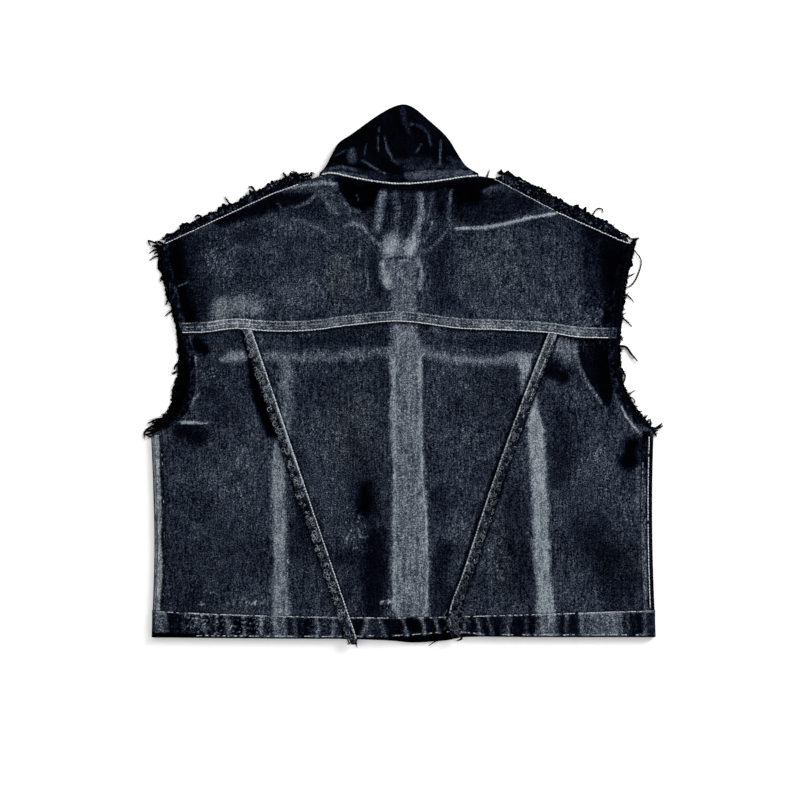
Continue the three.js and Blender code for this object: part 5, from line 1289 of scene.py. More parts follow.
class VEST_OT_waistband(bpy.types.Operator):
    """Waistband: puckered behind and turned down at both sides, flat in front."""
    bl_idname = "vest.waistband"
    bl_label = "Waistband"

    def execute(self, context):
        self.behind()
        for side in SIDES:
            self.in_front(side)
        return {"FINISHED"}

    def puckers(self, x, share):
        total = np.zeros(np.shape(x))
        for top, bottom, strength in PUCKERS:
            middle = lerp(bottom, top, share) + 1.6 * (cloud(share * 29, x * 0, 7, top % 13) - 0.5)
            total = np.maximum(total, strength * bell(x, middle, 2.3))
        return total

    def behind(self):
        radius = BAND_HEIGHT - BAND_FOOT
        upward = shares(28, 1.2)
        middle = np.linspace(-HEM_HALF + radius, HEM_HALF - radius, 400)
        across, share = np.meshgrid(middle, upward)
        y = lerp(back_hem(across), waist_seam(across) - HALF_GAP, share)
        ridges = self.puckers(across, share)
        fade = 1 - smooth(np.abs(across), 262, 272)
        crown = 1.6 * share * (1 - share)
        dent = bell(share, 0.93, 0.05) + bell(share, 0.07, 0.05)
        z = band_height(across) + crown + (0.75 * ridges - 0.3 - 0.2 * dent) * fade
        outer, inner = layer(across, y, z, BAND_PLY)
        ends = []
        for side in SIDES:
            turn, tall = np.meshgrid(TURN_ANGLES[::-side.sign], upward)
            end = side.sign * HEM_HALF
            edge_y = lerp(back_hem(end), waist_seam(end) - HALF_GAP, tall)
            edge_x = side.side_x(edge_y)
            ends.append(turned(edge_x, edge_y, -side.sign, turn, BAND_HEIGHT, BAND_FOOT, BAND_PLY))
        outer = np.concatenate((ends[0][0], outer, ends[1][0]), axis=1)
        inner = np.concatenate((ends[0][1], inner, ends[1][1]), axis=1)
        share = np.broadcast_to(upward[:, None], outer.shape[:2])
        wear = self.band_wear_and_shade(outer[..., 0], outer[..., 1], share)
        cloth_piece(
            "waistband_back", outer, inner, wear, "seam denim", "denim_seams",
            ["waistband_front_left", "waistband_front_right", "placket"],
        )

    def band_wear_and_shade(self, x, y, share):
        ridges = self.puckers(x, share)
        blocks = cloud(x, share * 2, 7.5, 71)
        wear = 0.02 + 0.17 * smooth(blocks, 0.35, 0.8) + 0.08 * cloud(x, y, 3, 76) + 0.6 * ridges
        for centre, half, level in ((-135, 9, 0.62), (157, 14, 0.66), (222, 26, 0.6), (-268, 6, 0.5)):
            away = np.abs(x - centre) / half + 0.5 * (cloud(x, share * 3, 5, 75) - 0.5)
            paler = 1 - smooth(away, 0.6, 1.15)
            wear = lerp(wear, level, 0.8 * paler)
        top_line = bell(share, 0.97, 0.04) * smooth(cloud(x, x * 0, 13, 72), 0.25, 0.55)
        low_line = bell(share, 0.1, 0.05) * smooth(cloud(x, x * 0, 4, 73), 0.35, 0.65)
        low_line = low_line * smooth(x, -235, -215)
        wear = wear + 0.5 * top_line + 0.4 * low_line
        black = 1 - smooth(path_distance(x, y, ((2, -274, 6), (16, -276, 6))), 0.6, 1.3)
        ends = smooth(np.abs(x), 255, 276)
        wear = lerp(wear, 0.0, 0.95 * black * (1 - ridges)) + 0.1 * ends
        flecks = smooth(cloud(x, y, 1.4, 77), 0.66, 0.88) * smooth(x, -262, -235) * (1 - smooth(x, -80, -55))
        wear = wear + 0.6 * flecks * (1 - 0.7 * smooth(np.abs(x + 196), 34, 60))
        # Painted shade: darker along the bottom of the band at its left end, and black along its very bottom
        # edge at the hem.
        wear = wear * (1 - (1 - smooth(share, 0.14, 0.24)) * (1 - smooth(x, -226, -205)))
        wear = wear * smooth(share, 0.02, 0.07)
        return mottled(wear, x, y, 1.3)

    def in_front(self, side):
        start, end = side.side_x(-275.0), side.placket_edge + side.sign * SEAM_GAP
        columns = np.linspace(min(start, end), max(start, end), 130)
        x, share = np.meshgrid(columns, shares(26, 2.5))
        y = lerp(front_hem(x), waist_seam(x) - HALF_GAP, share)
        outer, inner = layer(x, y, np.full(x.shape, BAND_PLY), BAND_PLY)
        wear = mottled(0.1 * cloud(x, share * 2, 8, 74), x, y) * smooth(y, -282, -272)
        cloth_piece(
            f"waistband_front_{side.name}", outer, inner, wear, "front denim", "denim_front", [],
        )


class VEST_OT_collar(bpy.types.Operator):
    """Raised collar: doubled leaf and stand behind, and the two front collar ends beneath."""
    bl_idname = "vest.collar"
    bl_label = "Collar"

    def execute(self, context):
        self.leaf()
        self.stand()
        for side in SIDES:
            self.front_end(side)
        return {"FINISHED"}

    def leaf(self):
        columns = np.linspace(NECK_LEFT + COLLAR_INSET, NECK_RIGHT - COLLAR_INSET, 120)
        free = collar_free(columns)
        foot = lerp(BAND_FOOT, COLLAR_EDGE_FOOT, free)
        height = lerp(COLLAR_FOLD_HEIGHT, COLLAR_EDGE_HEIGHT, free)
        seam = neck_seam(columns) + HALF_GAP
        stand_end = seam + stand_top(columns)
        radius = np.minimum(height - foot, 0.8 * (collar_top(columns) - stand_end))
        roll_start = collar_top(columns) - radius
        x, share = np.meshgrid(columns, shares(76, 1.9))
        y = lerp(seam, roll_start, share)
        z = collar_height(x, y)
        outer, inner = layer(x, y, z, BAND_PLY)
        turn = np.radians(np.linspace(90, 0, TURN_CELLS + 2))[1:, None]
        grids = []
        for face, ply in ((outer, 0.0), (inner, BAND_PLY)):
            r = (height - foot) - ply
            reach = (height - foot - r * np.cos(turn)) * radius / (height - foot)
            turn_x = np.broadcast_to(columns, (len(turn), len(columns)))
            rolled = np.stack((turn_x, collar_top(columns) - reach, foot + r * np.sin(turn)), -1)
            grids.append(np.concatenate((face, rolled)))
        outer, inner = grids
        x, y = outer[..., 0], outer[..., 1]
        wear = marked(0.01 + 0.05 * cloud(x, y, 14, 81), COLLAR_MARKS, x, y)
        edge = bell(collar_top(x) - y, 0, 1.6) * smooth(cloud(x, y, 8, 82), 0.5, 0.8)
        cloth_piece(
            "collar_back", outer, inner, mottled(wear + 0.16 * edge, x, y, 0.8), "collar denim",
            "denim_collar", ["collar_front_left", "collar_front_right"],
        )

    def stand(self):
        x, share = np.meshgrid(np.linspace(-81.5, 71.5, 110), shares(12, 1.1))
        y = neck_seam(x) + HALF_GAP + share * (stand_top(x) - 0.2)
        z = collar_height(x, y) + SEAM_GAP + STRIP_PLY
        ropes = signed_cloud(x, share, 4.5, 83)
        outer, inner = layer(x, y, z + 0.15 * ropes * smooth(share, 0, 0.2), STRIP_PLY)
        wear = marked(0.1 + 0.08 * ropes, COLLAR_MARKS, x, y) + 0.16 * (cloud(x, y * 4, 6, 86) - 0.5)
        cloth_piece(
            "collar_stand", outer, inner, mottled(wear, x, y), "collar denim", "denim_collar",
            ["collar_back"],
        )

    def front_end(self, side):
        start, end = side.neck_point - side.sign * COLLAR_INSET, PLACKET_CENTRE + side.sign * HALF_GAP
        columns = np.linspace(min(start, end), max(start, end), 48)
        middle = (COLLAR_FOLD_LEFT + COLLAR_FOLD_RIGHT) / 2
        away = np.abs(columns - middle) / ((COLLAR_FOLD_RIGHT - COLLAR_FOLD_LEFT) / 2)
        dip = FRONT_COLLAR_DIP + 26 * away ** 2
        top = np.minimum(collar_top(columns) - COLLAR_CLEAR * collar_free(columns), dip)
        x, share = np.meshgrid(columns, shares(90, 2.6))
        y = lerp(front_neck(x) + HALF_GAP, top, share)
        outer, inner = layer(x, y, np.full(x.shape, BAND_PLY), BAND_PLY)
        cloth_piece(
            f"collar_front_{side.name}", outer, inner, mottled(0.12 + 0.1 * cloud(x, y, 12, 84), x, y),
            "collar denim", "denim_collar", [],
        )


def placket_lift(x, y):
    """The cloth stands level over each button and slopes away round it."""
    nearest = np.min([np.abs(y - button) for button in BUTTONS], axis=0)
    away = np.maximum(np.abs(x - PLACKET_CENTRE), nearest)
    down = np.clip((away - BUTTON_LEVEL) / (BUTTON_SLOPE - BUTTON_LEVEL), 0, 1)
    return (BUTTON_HEIGHT + SEAM_GAP) * (1 - down)


# Spacing of the points on the fronts, which are hidden but for their armhole edges.
HIDDEN_CELL = 3.8


class VEST_OT_fronts(bpy.types.Operator):
    """The two fronts on the table, and the placket with its button band lying on its buttons."""
    bl_idname = "vest.fronts"
    bl_label = "Fronts"

    def execute(self, context):
        for side in SIDES:
            self.panel(side)
        columns = PLACKET_CENTRE + np.linspace(-PLACKET_HALF, PLACKET_HALF, 37)
        x, share = np.meshgrid(columns, shares(430, 2.4))
        y = lerp(front_hem(x), front_neck(x) - HALF_GAP, share)
        lift = placket_lift(x, y)
        for node, low, rests_on in (("placket", 0, []), ("button_band", PLY + SEAM_GAP, ["placket"])):
            outer, inner = layer(x, y, lift + low + PLY, PLY)
            edge = smooth(np.abs(x - PLACKET_CENTRE), PLACKET_HALF - 2.5, PLACKET_HALF)
            wear = mottled(0.1 + 0.12 * cloud(x, y, 20, 91) + 0.2 * edge, x, y)
            wear = wear * smooth(y, -276, -262)
            cloth_piece(node, outer, inner, wear, "front denim", "denim_front", rests_on)
        return {"FINISHED"}

    def panel(self, side):
        inside = side.placket_edge + side.sign * SEAM_GAP

        def outside(at):
            return front_edge(side, at)

        def within(at):
            return np.full(np.shape(at), inside)

        left, right = (outside, within) if side.sign < 0 else (within, outside)
        x, y = panel_grid(
            shares(250, HIDDEN_CELL), shares(470, HIDDEN_CELL), left, right,
            lambda at: waist_seam(at) + HALF_GAP, lambda at: front_top(at) - HALF_GAP,
        )
        outer, inner = layer(x, y, np.full(x.shape, PLY), PLY)
        away = np.abs(front_edge(side, y)) - np.abs(x)
        wear = 0.26 + 0.14 * (cloud(x, y, 60, 92) - 0.5) + 0.16 * (cloud(x, y, 22, 93) - 0.5)
        shade = smooth(y, side.underarm - 4, side.underarm + 8) * (1 - smooth(away, 18, 34))
        cloth_piece(
            f"front_{side.name}", outer, inner, mottled(wear, x, y) * (1 - 0.98 * shade),
            "front denim", "denim_front", [],
        )


def shoulder_out(side, x):
    """Unit direction square to the shoulder line, away from the cloth."""
    slope = (side.shoulder(x + 1) - side.shoulder(x - 1)) / 2
    length = np.hypot(1, slope)
    return -slope / length, 1 / length


class VEST_OT_raw_shoulders(bpy.types.Operator):
    """Raw shoulder allowances, both plies pressed together outside the stitch line."""
    bl_idname = "vest.raw_shoulders"
    bl_label = "Raw shoulders"

    def execute(self, context):
        for side in SIDES:
            columns = np.linspace(side.raw_from, side.raw_to, 260)
            out_x, out_y = shoulder_out(side, columns)
            from_end = np.minimum(np.abs(columns - side.raw_from), np.abs(columns - side.raw_to))
            bumps = 0.5 * cloud(columns, 0 * columns, 2.2, 95) + cloud(columns, 0 * columns, 7, 97) - 0.75
            ragged = side.raw_width(columns) * (1 + 0.35 * bumps) * (0.35 + 0.65 * smooth(from_end, 0, 6))
            _, share = np.meshgrid(columns, np.linspace(0, 1, 14))
            distance = lerp(HALF_GAP, ragged, share)
            x, y = columns + out_x * distance, side.shoulder(columns) + out_y * distance
            ropes = signed_cloud(x * 0.8 + y * 0.6, share * 1.5, 3.6, 96)
            z = SHOULDER_HIGH + 0.5 * ropes - 0.7 * share ** 2
            outer = np.stack((x, y, z), -1)
            inner = np.stack((x, y, np.full(x.shape, SHOULDER_LOW)), -1)
            specks = smooth(cloud(x, y, 1.3, 98), 0.45, 0.85)
            wear = 0.02 + 0.5 * specks * cloud(x, y, 4, 99)
            piece = wall_piece(f"raw_shoulder_{side.name}", outer, inner, wear, "raw denim", "denim_raw")
            SHEETS["back_yoke"].with_pieces.append(piece)
        return {"FINISHED"}


# Loose yarns: the step along an edge, fine fibres, tufts, the longest yarns with their plies and
# what fuzz adds to them, and curls.
FRAY_STEP = 1.2
FIBRE = 0.34
TUFT_EVERY = 5.5
TUFT_SPREAD = 1.0
IN_TUFTS = 0.62
LONG_POINTS = 14
FUZZ = 0.2
WHOLE_TURN = 6.28
PLIES = 5
PLY_THICKNESS = 0.28
CURL_POINTS = 9
CURL_THICKNESS = 0.76


def resampled(x, y, step):
    """The same route at even steps along its length."""
    run = np.concatenate(([0], np.cumsum(np.hypot(np.diff(x), np.diff(y)))))
    at = np.linspace(0, run[-1], max(2, int(run[-1] / step)))
    return np.interp(at, run, x), np.interp(at, run, y), at


def outward(x, y, sign):
    """Unit direction square to a route, on the side that the sign gives."""
    dx, dy = np.gradient(x), np.gradient(y)
    length = np.hypot(dx, dy)
    return sign * dy / length, -sign * dx / length


def loose_ends(x, y, low, high, out_x, out_y, reach, count, thickness, floor, rng, points):
    """Yarn ends: each leaves the edge, leans, curls and sinks to the table, thinning to its tip.
    Most stand in tufts, with one heading and about one length."""
    tufts = max(2, int(len(x) * FRAY_STEP / TUFT_EVERY))
    tuft = rng.integers(0, tufts, count)
    gathered = rng.random(count) < IN_TUFTS
    tuft_at = (rng.random(tufts) * (len(x) - 1))[tuft] + rng.normal(0, TUFT_SPREAD / FRAY_STEP, count)
    at = np.clip(np.where(gathered, tuft_at, rng.random(count) * (len(x) - 1)), 0, len(x) - 1)
    place = np.arange(len(x))
    root_x, root_y = np.interp(at, place, x), np.interp(at, place, y)
    ox, oy = np.interp(at, place, out_x), np.interp(at, place, out_y)
    root_z = lerp(np.interp(at, place, low), np.interp(at, place, high), 0.2 + 0.6 * rng.random(count))
    tuft_length = lerp(reach[0], reach[1], rng.random(tufts) ** 1.8)[tuft] * lerp(0.5, 1, rng.random(count))
    length = np.where(gathered, tuft_length, lerp(reach[0], reach[1], 0.3 * rng.random(count)))
    tuft_lean = rng.normal(0, 0.75, tufts)[tuft] + rng.normal(0, 0.2, count)
    lean = np.where(gathered, tuft_lean, rng.normal(0, 0.6, count))
    curl = rng.normal(0, 0.16, count)
    phase = rng.random(count) * WHOLE_TURN
    t = np.linspace(0, 1, points)[None]

    def column(values):
        return values[:, None]

    swing = column(lean) * t ** 1.4 + column(curl) * t * np.sin(column(phase) + 5.5 * t)
    forward = (t - 0.12) * np.sqrt(1 / (1 + 0.4 * column(lean) ** 2))
    px = column(root_x) + column(length) * (column(ox) * forward - column(oy) * swing)
    py = column(root_y) + column(length) * (column(oy) * forward + column(ox) * swing)
    fall = smooth(t, 0.1, 0.8) * column(0.4 + 0.6 * rng.random(count))
    pz = lerp(column(root_z), floor + 0.4 * np.abs(np.sin(column(phase) + 3 * t)), fall)
    radii = column(thickness / 2 * (0.6 + 0.8 * rng.random(count))) * (1 - 0.72 * t ** 1.5)
    return np.stack((px, py, np.maximum(pz, radii + 0.05)), -1), radii


def long_yarns(rows, high, low, rng):
    """The longest yarns, each a smooth route through its own few points, with loose plies round it."""
    paths, radii = [], []
    for thickness, route in rows:
        thickness = thickness + FUZZ
        table = np.array(route, float)
        t = np.linspace(0, len(route) - 1, LONG_POINTS)
        key = np.arange(len(route))
        px = curve(np.stack((key, table[:, 0]), -1))(t)
        py = curve(np.stack((key, table[:, 1]), -1))(t)
        pz = lerp(high, low + thickness / 2, smooth(t / t[-1], 0, 0.5))
        taper = 1 - 0.5 * smooth(t / t[-1], 0.6, 1)
        core = np.stack((px, py, pz), -1)
        paths.append(core)
        radii.append(thickness / 2 * taper * (1 + 0.25 * (rng.random(LONG_POINTS) - 0.5)))
        for _ in range(PLIES):
            drift = rng.normal(0, 0.55 * thickness, 3) * np.linspace(0.4, 1.4, LONG_POINTS)[:, None]
            paths.append(core + drift * (1, 1, 0.15))
            radii.append(PLY_THICKNESS / 2 * taper)
    return np.array(paths), np.array(radii)


def curls(x, y, z, out_x, out_y, place, rng):
    """Open loops of yarn along an edge, from some way inside it to some way outside: each is
    middle + r (cos a, 1.2 sin a) over three quarters of a turn, standing highest half way."""
    count, inside, outside, _ = place
    at = rng.integers(0, len(x), count)[:, None]
    turn = np.linspace(0, 1, CURL_POINTS)[None]
    angle = rng.uniform(0, WHOLE_TURN, (count, 1)) + 4.7 * turn
    radius = rng.uniform(0.9, 2.1, (count, 1))
    away = rng.uniform(inside, outside, (count, 1))
    px = x[at] + out_x[at] * away + radius * np.cos(angle)
    py = y[at] + out_y[at] * away + 1.2 * radius * np.sin(angle)
    pz = z[at] + 0.5 + 0.4 * np.sin(np.pi * turn)
    return np.stack((px, py, pz), -1), np.full(px.shape, CURL_THICKNESS / 2)


def joined(meshes):
    """One mesh of several (points, faces) pairs, none of it below the table."""
    shift = np.cumsum([0] + [len(points) for points, _ in meshes[:-1]])
    points = np.concatenate([points for points, _ in meshes])
    points[:, 2] = np.maximum(points[:, 2], ON_TABLE)
    return points, np.concatenate([faces + start for (_, faces), start in zip(meshes, shift)])


def fray_piece(
    node, x, y, low, high, sign, reach, floor, rows, seed, sheet, pale, root=FRAY_ROOT, curled=None,
):
    """A ragged narrow edge with yarns, fine fibres and the longest yarns, all in one mesh."""
    threads = bpy.context.scene.vest_threads
    rng = np.random.default_rng(seed)
    x, y, run = resampled(x, y, FRAY_STEP)
    low, high = [np.interp(np.linspace(0, 1, len(x)), np.linspace(0, 1, len(z)), z) for z in (low, high)]
    out_x, out_y = outward(x, y, sign)
    ragged = cloud(run, run * 0, 1.8, seed % 17) * (0.2 + 1.5 * cloud(run, run * 0, 8.5, seed % 13) ** 2)
    width = SEAM_GAP + root * (0.25 + 1.5 * ragged)
    rings = []
    for inset, z in ((SEAM_GAP, low), (width, low + 0.2), (width, high - 0.35), (SEAM_GAP, high)):
        rings.append(np.stack((x + out_x * inset, y + out_y * inset, z), -1))
    wear = [np.repeat(pale * cloud(run, run * 0, 2.6, 5), 4)]
    meshes = [ribbon(np.stack(rings, 1))]
    shortest, longest = reach
    kinds = ((threads.yarns, threads.yarn / MM, longest, 7), (threads.fibres, FIBRE, 0.7 * longest, 5))
    for each, thickness, furthest, points_each in kinds:
        count = int(each * run[-1] * MM)
        paths, radii = loose_ends(
            x, y, low, high, out_x, out_y, (shortest, furthest), count, thickness, floor, rng, points_each,
        )
        meshes.append(tubes(paths, radii))
        shade = np.clip(pale * (1 + 1.2 * rng.normal(0, 1, count)), 0, 1)
        wear.append(np.repeat(shade, points_each * YARN_SIDES))
    if rows:
        start, end = (high.max() + 0.4, high.max() + 0.1) if curled else (high.mean(), 0.25)
        paths, radii = long_yarns(rows, float(start), float(end), rng)
        meshes.append(tubes(paths, radii, LONG_SIDES))
        level = np.repeat([0.45 if thickness < 1 else 0.03 for thickness, _ in rows], len(paths) // len(rows))
        level = np.clip(level + rng.normal(0, 0.04, len(paths)), 0, 1)
        wear.append(np.repeat(level, LONG_POINTS * LONG_SIDES))
    if curled:
        paths, radii = curls(x, y, high, out_x, out_y, curled, rng)
        meshes.append(tubes(paths, radii))
        wear.append(np.repeat(rng.uniform(0.2, curled[3], len(paths)), CURL_POINTS * YARN_SIDES))
    piece = make_piece(
        f"{node}_yarns", *joined(meshes), finish_named("loose yarn"), "loose_yarn", (node,),
        np.concatenate(wear),
    )
    SHEETS[sheet].with_pieces.append(piece)


def ribbon(section):
    """A closed band carried along a route: (n, 4, 3) rings joined and capped, in triangles."""
    count = len(section)
    points = section.reshape(-1, 3)
    here, beside = between_rings(count, RIBBON_SIDES)
    one = np.stack((here, here + RIBBON_SIDES, beside + RIBBON_SIDES), -1).reshape(-1, 3)
    two = np.stack((here, beside + RIBBON_SIDES, beside), -1).reshape(-1, 3)
    cap = np.array(((0, 1, 2), (0, 2, 3)))
    faces = np.concatenate((one, two, cap, cap[:, ::-1] + (count - 1) * RIBBON_SIDES))
    one, two, three = [points[faces[:, i]] for i in range(3)]
    volume = (one * np.cross(two, three)).sum()
    return points, faces if volume > 0 else faces[:, ::-1]


class VEST_OT_frays(bpy.types.Operator):
    """Frayed edges: both armholes in two layers, the shoulders and the raw strips."""
    bl_idname = "vest.frays"
    bl_label = "Frays"

    def execute(self, context):
        for seed, side in enumerate(SIDES):
            self.armholes(side, 10 * seed)
            self.shoulder(side, 10 * seed)
            self.strip(side, 10 * seed)
        return {"FINISHED"}

    def armholes(self, side, seed):
        y = np.linspace(side.underarm + 4, side.shoulder_tip - 2, 120)
        x = side.back_armhole(y)
        low = np.maximum(cloth_height(x, y) - PLY, PLY + SEAM_GAP + 0.1)
        fray_piece(
            f"fray_back_armhole_{side.name}", x, y, low, low + 1.3, side.sign, (1.5, 6), 1.9, (), 201 + seed,
            "back_yoke", 0.04,
        )
        x = side.front_armhole(y)
        low = np.full(len(y), 0.2)
        fray_piece(
            f"fray_front_armhole_{side.name}", x, y, low, low + 1.2, side.sign, (1.5, 9), 0.3, side.loose,
            301 + seed, f"front_{side.name}", 0.02, 2.8,
        )

    def shoulder(self, side, seed):
        x = np.linspace(side.raw_from, side.raw_to, 120)
        out_x, out_y = shoulder_out(side, x)
        width = side.raw_width(x) - 0.6
        low = np.full(len(x), 0.9)
        fray_piece(
            f"fray_shoulder_{side.name}", x + out_x * width, side.shoulder(x) + out_y * width,
            low, low + 2, -1, (2, 7.5), 0.3, side.shoulder_loose, 401 + seed, "back_yoke", 0.03, 3.6,
        )

    def strip(self, side, seed):
        y = np.linspace(side.strip_tip + 2, 40, 200)
        x = side.strip_x(y) + side.sign * (STRIP_WIDTH - 0.5)
        low = cloth_height(x, y) + strip_lift(y) + 0.25
        fray_piece(
            f"fray_strip_{side.name}", x, y, low, low + 1, side.sign, (1.5, 5), BACK_HEIGHT + 0.6,
            side.strip_loose, 501 + seed, f"raw_strip_{side.name}", 0.35, 1.8,
            side.curled,
        )


# Sewing.
def stitch_row(x, y, height, missing, shade, rng):
    """Stitches along a route: each dips into the cloth at both ends and arches between."""
    threads = bpy.context.scene.vest_threads
    x, y, run = resampled(x, y, 0.5)
    length, gap = threads.stitch / MM, threads.gap / MM
    start = np.arange(0, run[-1] - length, length + gap)
    start = start[rng.random(len(start)) > missing] + rng.normal(0, 0.12, 1)
    t = np.linspace(0, 1, STITCH_POINTS)[None]
    at = start[:, None] + length * t
    px, py = np.interp(at, run, x), np.interp(at, run, y)
    aside = rng.normal(0, 0.12, (len(start), 1)) + 0.18 * (t - 0.5) * rng.normal(0, 1, (len(start), 1))
    px, py = px + aside * 0.5, py + aside
    arch = np.sin(np.pi * t)
    pz = height(px, py) + threads.thread / MM * (0.42 * arch - 0.2)
    radii = threads.thread / MM / 2 * (0.7 + 0.3 * arch) * np.ones((len(start), 1))
    worn = np.clip(shade + rng.normal(0, 0.13, len(start)), 0, 1)
    points, faces = tubes(np.stack((px, py, pz), -1), radii, STITCH_SIDES)
    return points, faces, np.repeat(worn, STITCH_POINTS * STITCH_SIDES)


def on_yoke_band(x, y):
    return cloth_height(x, y) + SEAM_GAP + STRIP_PLY


def on_waistband(x, y):
    return band_height(x) + 0.25


def on_stand(x, y):
    on_it = smooth(x, -86, -81) * (1 - smooth(x, 71, 76))
    return collar_height(x, y) + (SEAM_GAP + STRIP_PLY) * on_it


class VEST_OT_sewing(bpy.types.Operator):
    """Topstitching on the yoke seam, shoulders, neck, strips, side seams, waistband and placket.
    A row is a route's x and y, the height below it, the share of stitches missing and the shade."""
    bl_idname = "vest.sewing"
    bl_label = "Sewing"

    def execute(self, context):
        self.sew("stitching_yoke_seam", self.yoke_rows(), "yoke_seam_band", 1)
        self.sew("stitching_shoulders", self.shoulder_rows(), "back_yoke", 2)
        self.sew("stitching_neck", self.neck_rows(), "collar_stand", 3)
        for side in SIDES:
            strip, back = f"raw_strip_{side.name}", f"back_side_{side.name}"
            self.sew(f"stitching_strip_{side.name}", self.strip_rows(side), strip, 4 + side.sign)
            self.sew(f"stitching_side_{side.name}", self.side_rows(side), back, 7 + side.sign)
        self.sew("stitching_waistband", self.waistband_rows(), "waistband_back", 9)
        self.sew("stitching_placket", self.placket_rows(), "placket", 10)
        return {"FINISHED"}

    def yoke_rows(self):
        """The upper rows show again, brighter, where the left end is rubbed."""
        across, rubbed = np.linspace(-243, 228, 400), np.linspace(-215, -152, 80)
        low, middle, high = YOKE_STITCHES
        return [
            (x, yoke_seam(x) + offset, on_yoke_band, missing, shade)
            for x, offset, missing, shade in (
                (across, low, 0, 1), (across, middle, 0.4, 0.3), (across, high, 0.25, 0.35),
                (rubbed, middle, 0.25, 0.8), (rubbed, high, 0.05, 0.85),
            )
        ]

    def shoulder_rows(self):
        return [
            (x, side.shoulder(x) - SHOULDER_STITCH, cloth_height, 0.01, shade)
            for side, x, shade in (
                (LEFT, np.linspace(-262, -116, 200), 0.88), (RIGHT, np.linspace(100, 166, 90), 0.55),
                (RIGHT, np.linspace(168, 248, 110), 0.95),
            )
        ]

    def neck_rows(self):
        x = np.linspace(-90, 82, 220)
        return [(x, neck_seam(x) + offset, on_stand, 0, 0.95) for offset in NECK_STITCHES]

    def waistband_rows(self):
        x = np.linspace(-272, 272, 600)
        low = x[x > -228]
        return [
            (x, waist_seam(x) - 0.8, on_waistband, 0.3, 0.62),
            (low, back_hem(low) + 2.6, on_waistband, 0.6, 0.55),
        ]

    def placket_rows(self):
        y = np.linspace(-285, 130, 500)
        return [
            (np.full(len(y), PLACKET_CENTRE + offset), y, placket_lift, 0.05, 0.5)
            for offset in (-PLACKET_STITCH, PLACKET_STITCH)
        ]

    def strip_rows(self, side):
        """The inner row is whole. The outer one is worn away, but for its upper part on the right."""
        near, far = STRIP_STITCHES
        lowest, seen_from, shade, missing = (-290, 46, 0.9, 0.97) if side.sign < 0 else (-262, -30, 0.68, 0.9)
        y = np.linspace(lowest, 46, 400)
        outer_x = side.strip_x(y) + side.sign * far
        high = y > seen_from
        rows = [
            (side.strip_x(y) + side.sign * near, y, strip_top, 0.02, shade),
            (outer_x[~high], y[~high], strip_top, missing, 0.5),
        ]
        return rows + [(outer_x[high], y[high], strip_top, 0.25, shade)] if high.any() else rows

    def side_rows(self, side):
        """Rubbed bright on the right, worn away on the left."""
        near, far = SIDE_STITCHES
        left = ((near, 0.6, 0.6), (far, 0.95, 0.2))
        right = ((near, 0.02, 0.85), (far, 0.9, 0.3))
        y = np.linspace(-256, side.underarm - 3, 300)
        return [
            (side.side_x(y) - side.sign * (SIDE_SEAM_INSET + inset), y, on_yoke_band, missing, shade)
            for inset, missing, shade in (left if side.sign < 0 else right)
        ]

    def sew(self, name, rows, sheet, seed):
        rng = np.random.default_rng(700 + seed)
        made = [stitch_row(*row, rng) for row in rows]
        points, faces = joined([(points, faces) for points, faces, _ in made])
        wear = np.concatenate([shade for _, _, shade in made])
        piece = make_piece(name, points, faces, finish_named("sewing thread"), "loose_yarn", (), wear)
        SHEETS[sheet].with_pieces.append(piece)


class VEST_OT_buttons(bpy.types.Operator):
    """Shank buttons face down: a turned profile with a rolled rim, a groove and a domed middle."""
    bl_idname = "vest.buttons"
    bl_label = "Buttons"

    def execute(self, context):
        for number in range(1, len(BUTTONS) + 1):
            low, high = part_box(f"button_{number}")
            radius = (high[0] - low[0]) / 2 / MM
            centre = ((low[0] + high[0]) / 2 / MM, (low[1] + high[1]) / 2 / MM)
            self.button(number, radius, centre)
        return {"FINISHED"}

    def button(self, number, radius, centre):
        """Each profile point (r, z, rub) is turned about the button's own upright axis."""
        profile = np.array((
            (0.02, 0.35, 0.3), (2.2, 0.3, 0.35), (3.4, 0.12, 0.7), (4.0, 0.5, 0.05), (5.2, 0.5, 0.05),
            (5.9, 0.1, 0.75), (6.8, 0.0, 0.9), (7.8, 0.28, 0.7), (radius - 0.15, 0.85, 0.5),
            (radius, 1.3, 0.3), (radius - 0.4, 2.1, 0.15), (radius - 1.2, BUTTON_HEIGHT, 0.1),
            (0.02, BUTTON_HEIGHT, 0.1),
        ))
        turn = np.linspace(0, 2 * np.pi, 49)[:-1]
        r, z, rub = [profile[:, i][:, None] for i in range(3)]
        x, y = centre[0] + r * np.cos(turn), centre[1] + r * np.sin(turn)
        points = np.stack((x, y, z + 0 * x), -1).reshape(-1, 3)
        rings, sides = len(profile), len(turn)
        here, beside = between_rings(rings, sides)
        faces = np.stack((here, beside, beside + sides, here + sides), -1).reshape(-1, 4)
        make_piece(
            f"button_{number}_shank", *self.capped(points, faces, sides), finish_named("tack metal"),
            "button_metal", (f"button_{number}",), np.concatenate((np.repeat(rub, sides), (0.3, 0.1))),
        )

    def capped(self, points, faces, sides):
        """Both open ends are closed with a point in the middle, so that every face has three sides."""
        first, last = np.arange(sides), len(points) - sides + np.arange(sides)
        low, high = points[first].mean(axis=0), points[last].mean(axis=0)
        triangles = np.concatenate((faces[:, (0, 1, 2)], faces[:, (0, 2, 3)]))
        bottom = np.stack((np.roll(first, -1), first, np.full(sides, len(points))), -1)
        top = np.stack((last, np.roll(last, -1), np.full(sides, len(points) + 1)), -1)
        return np.concatenate((points, (low, high))), np.concatenate((triangles, bottom, top))


class VEST_OT_declare(bpy.types.Operator):
    """Does nothing: each piece of cloth, with its cut and the smaller pieces on it, is gathered in SHEETS as
    it is made.
    """
    bl_idname = "vest.declare"
    bl_label = "Cloth list"

    def execute(self, context):
        return {"FINISHED"}


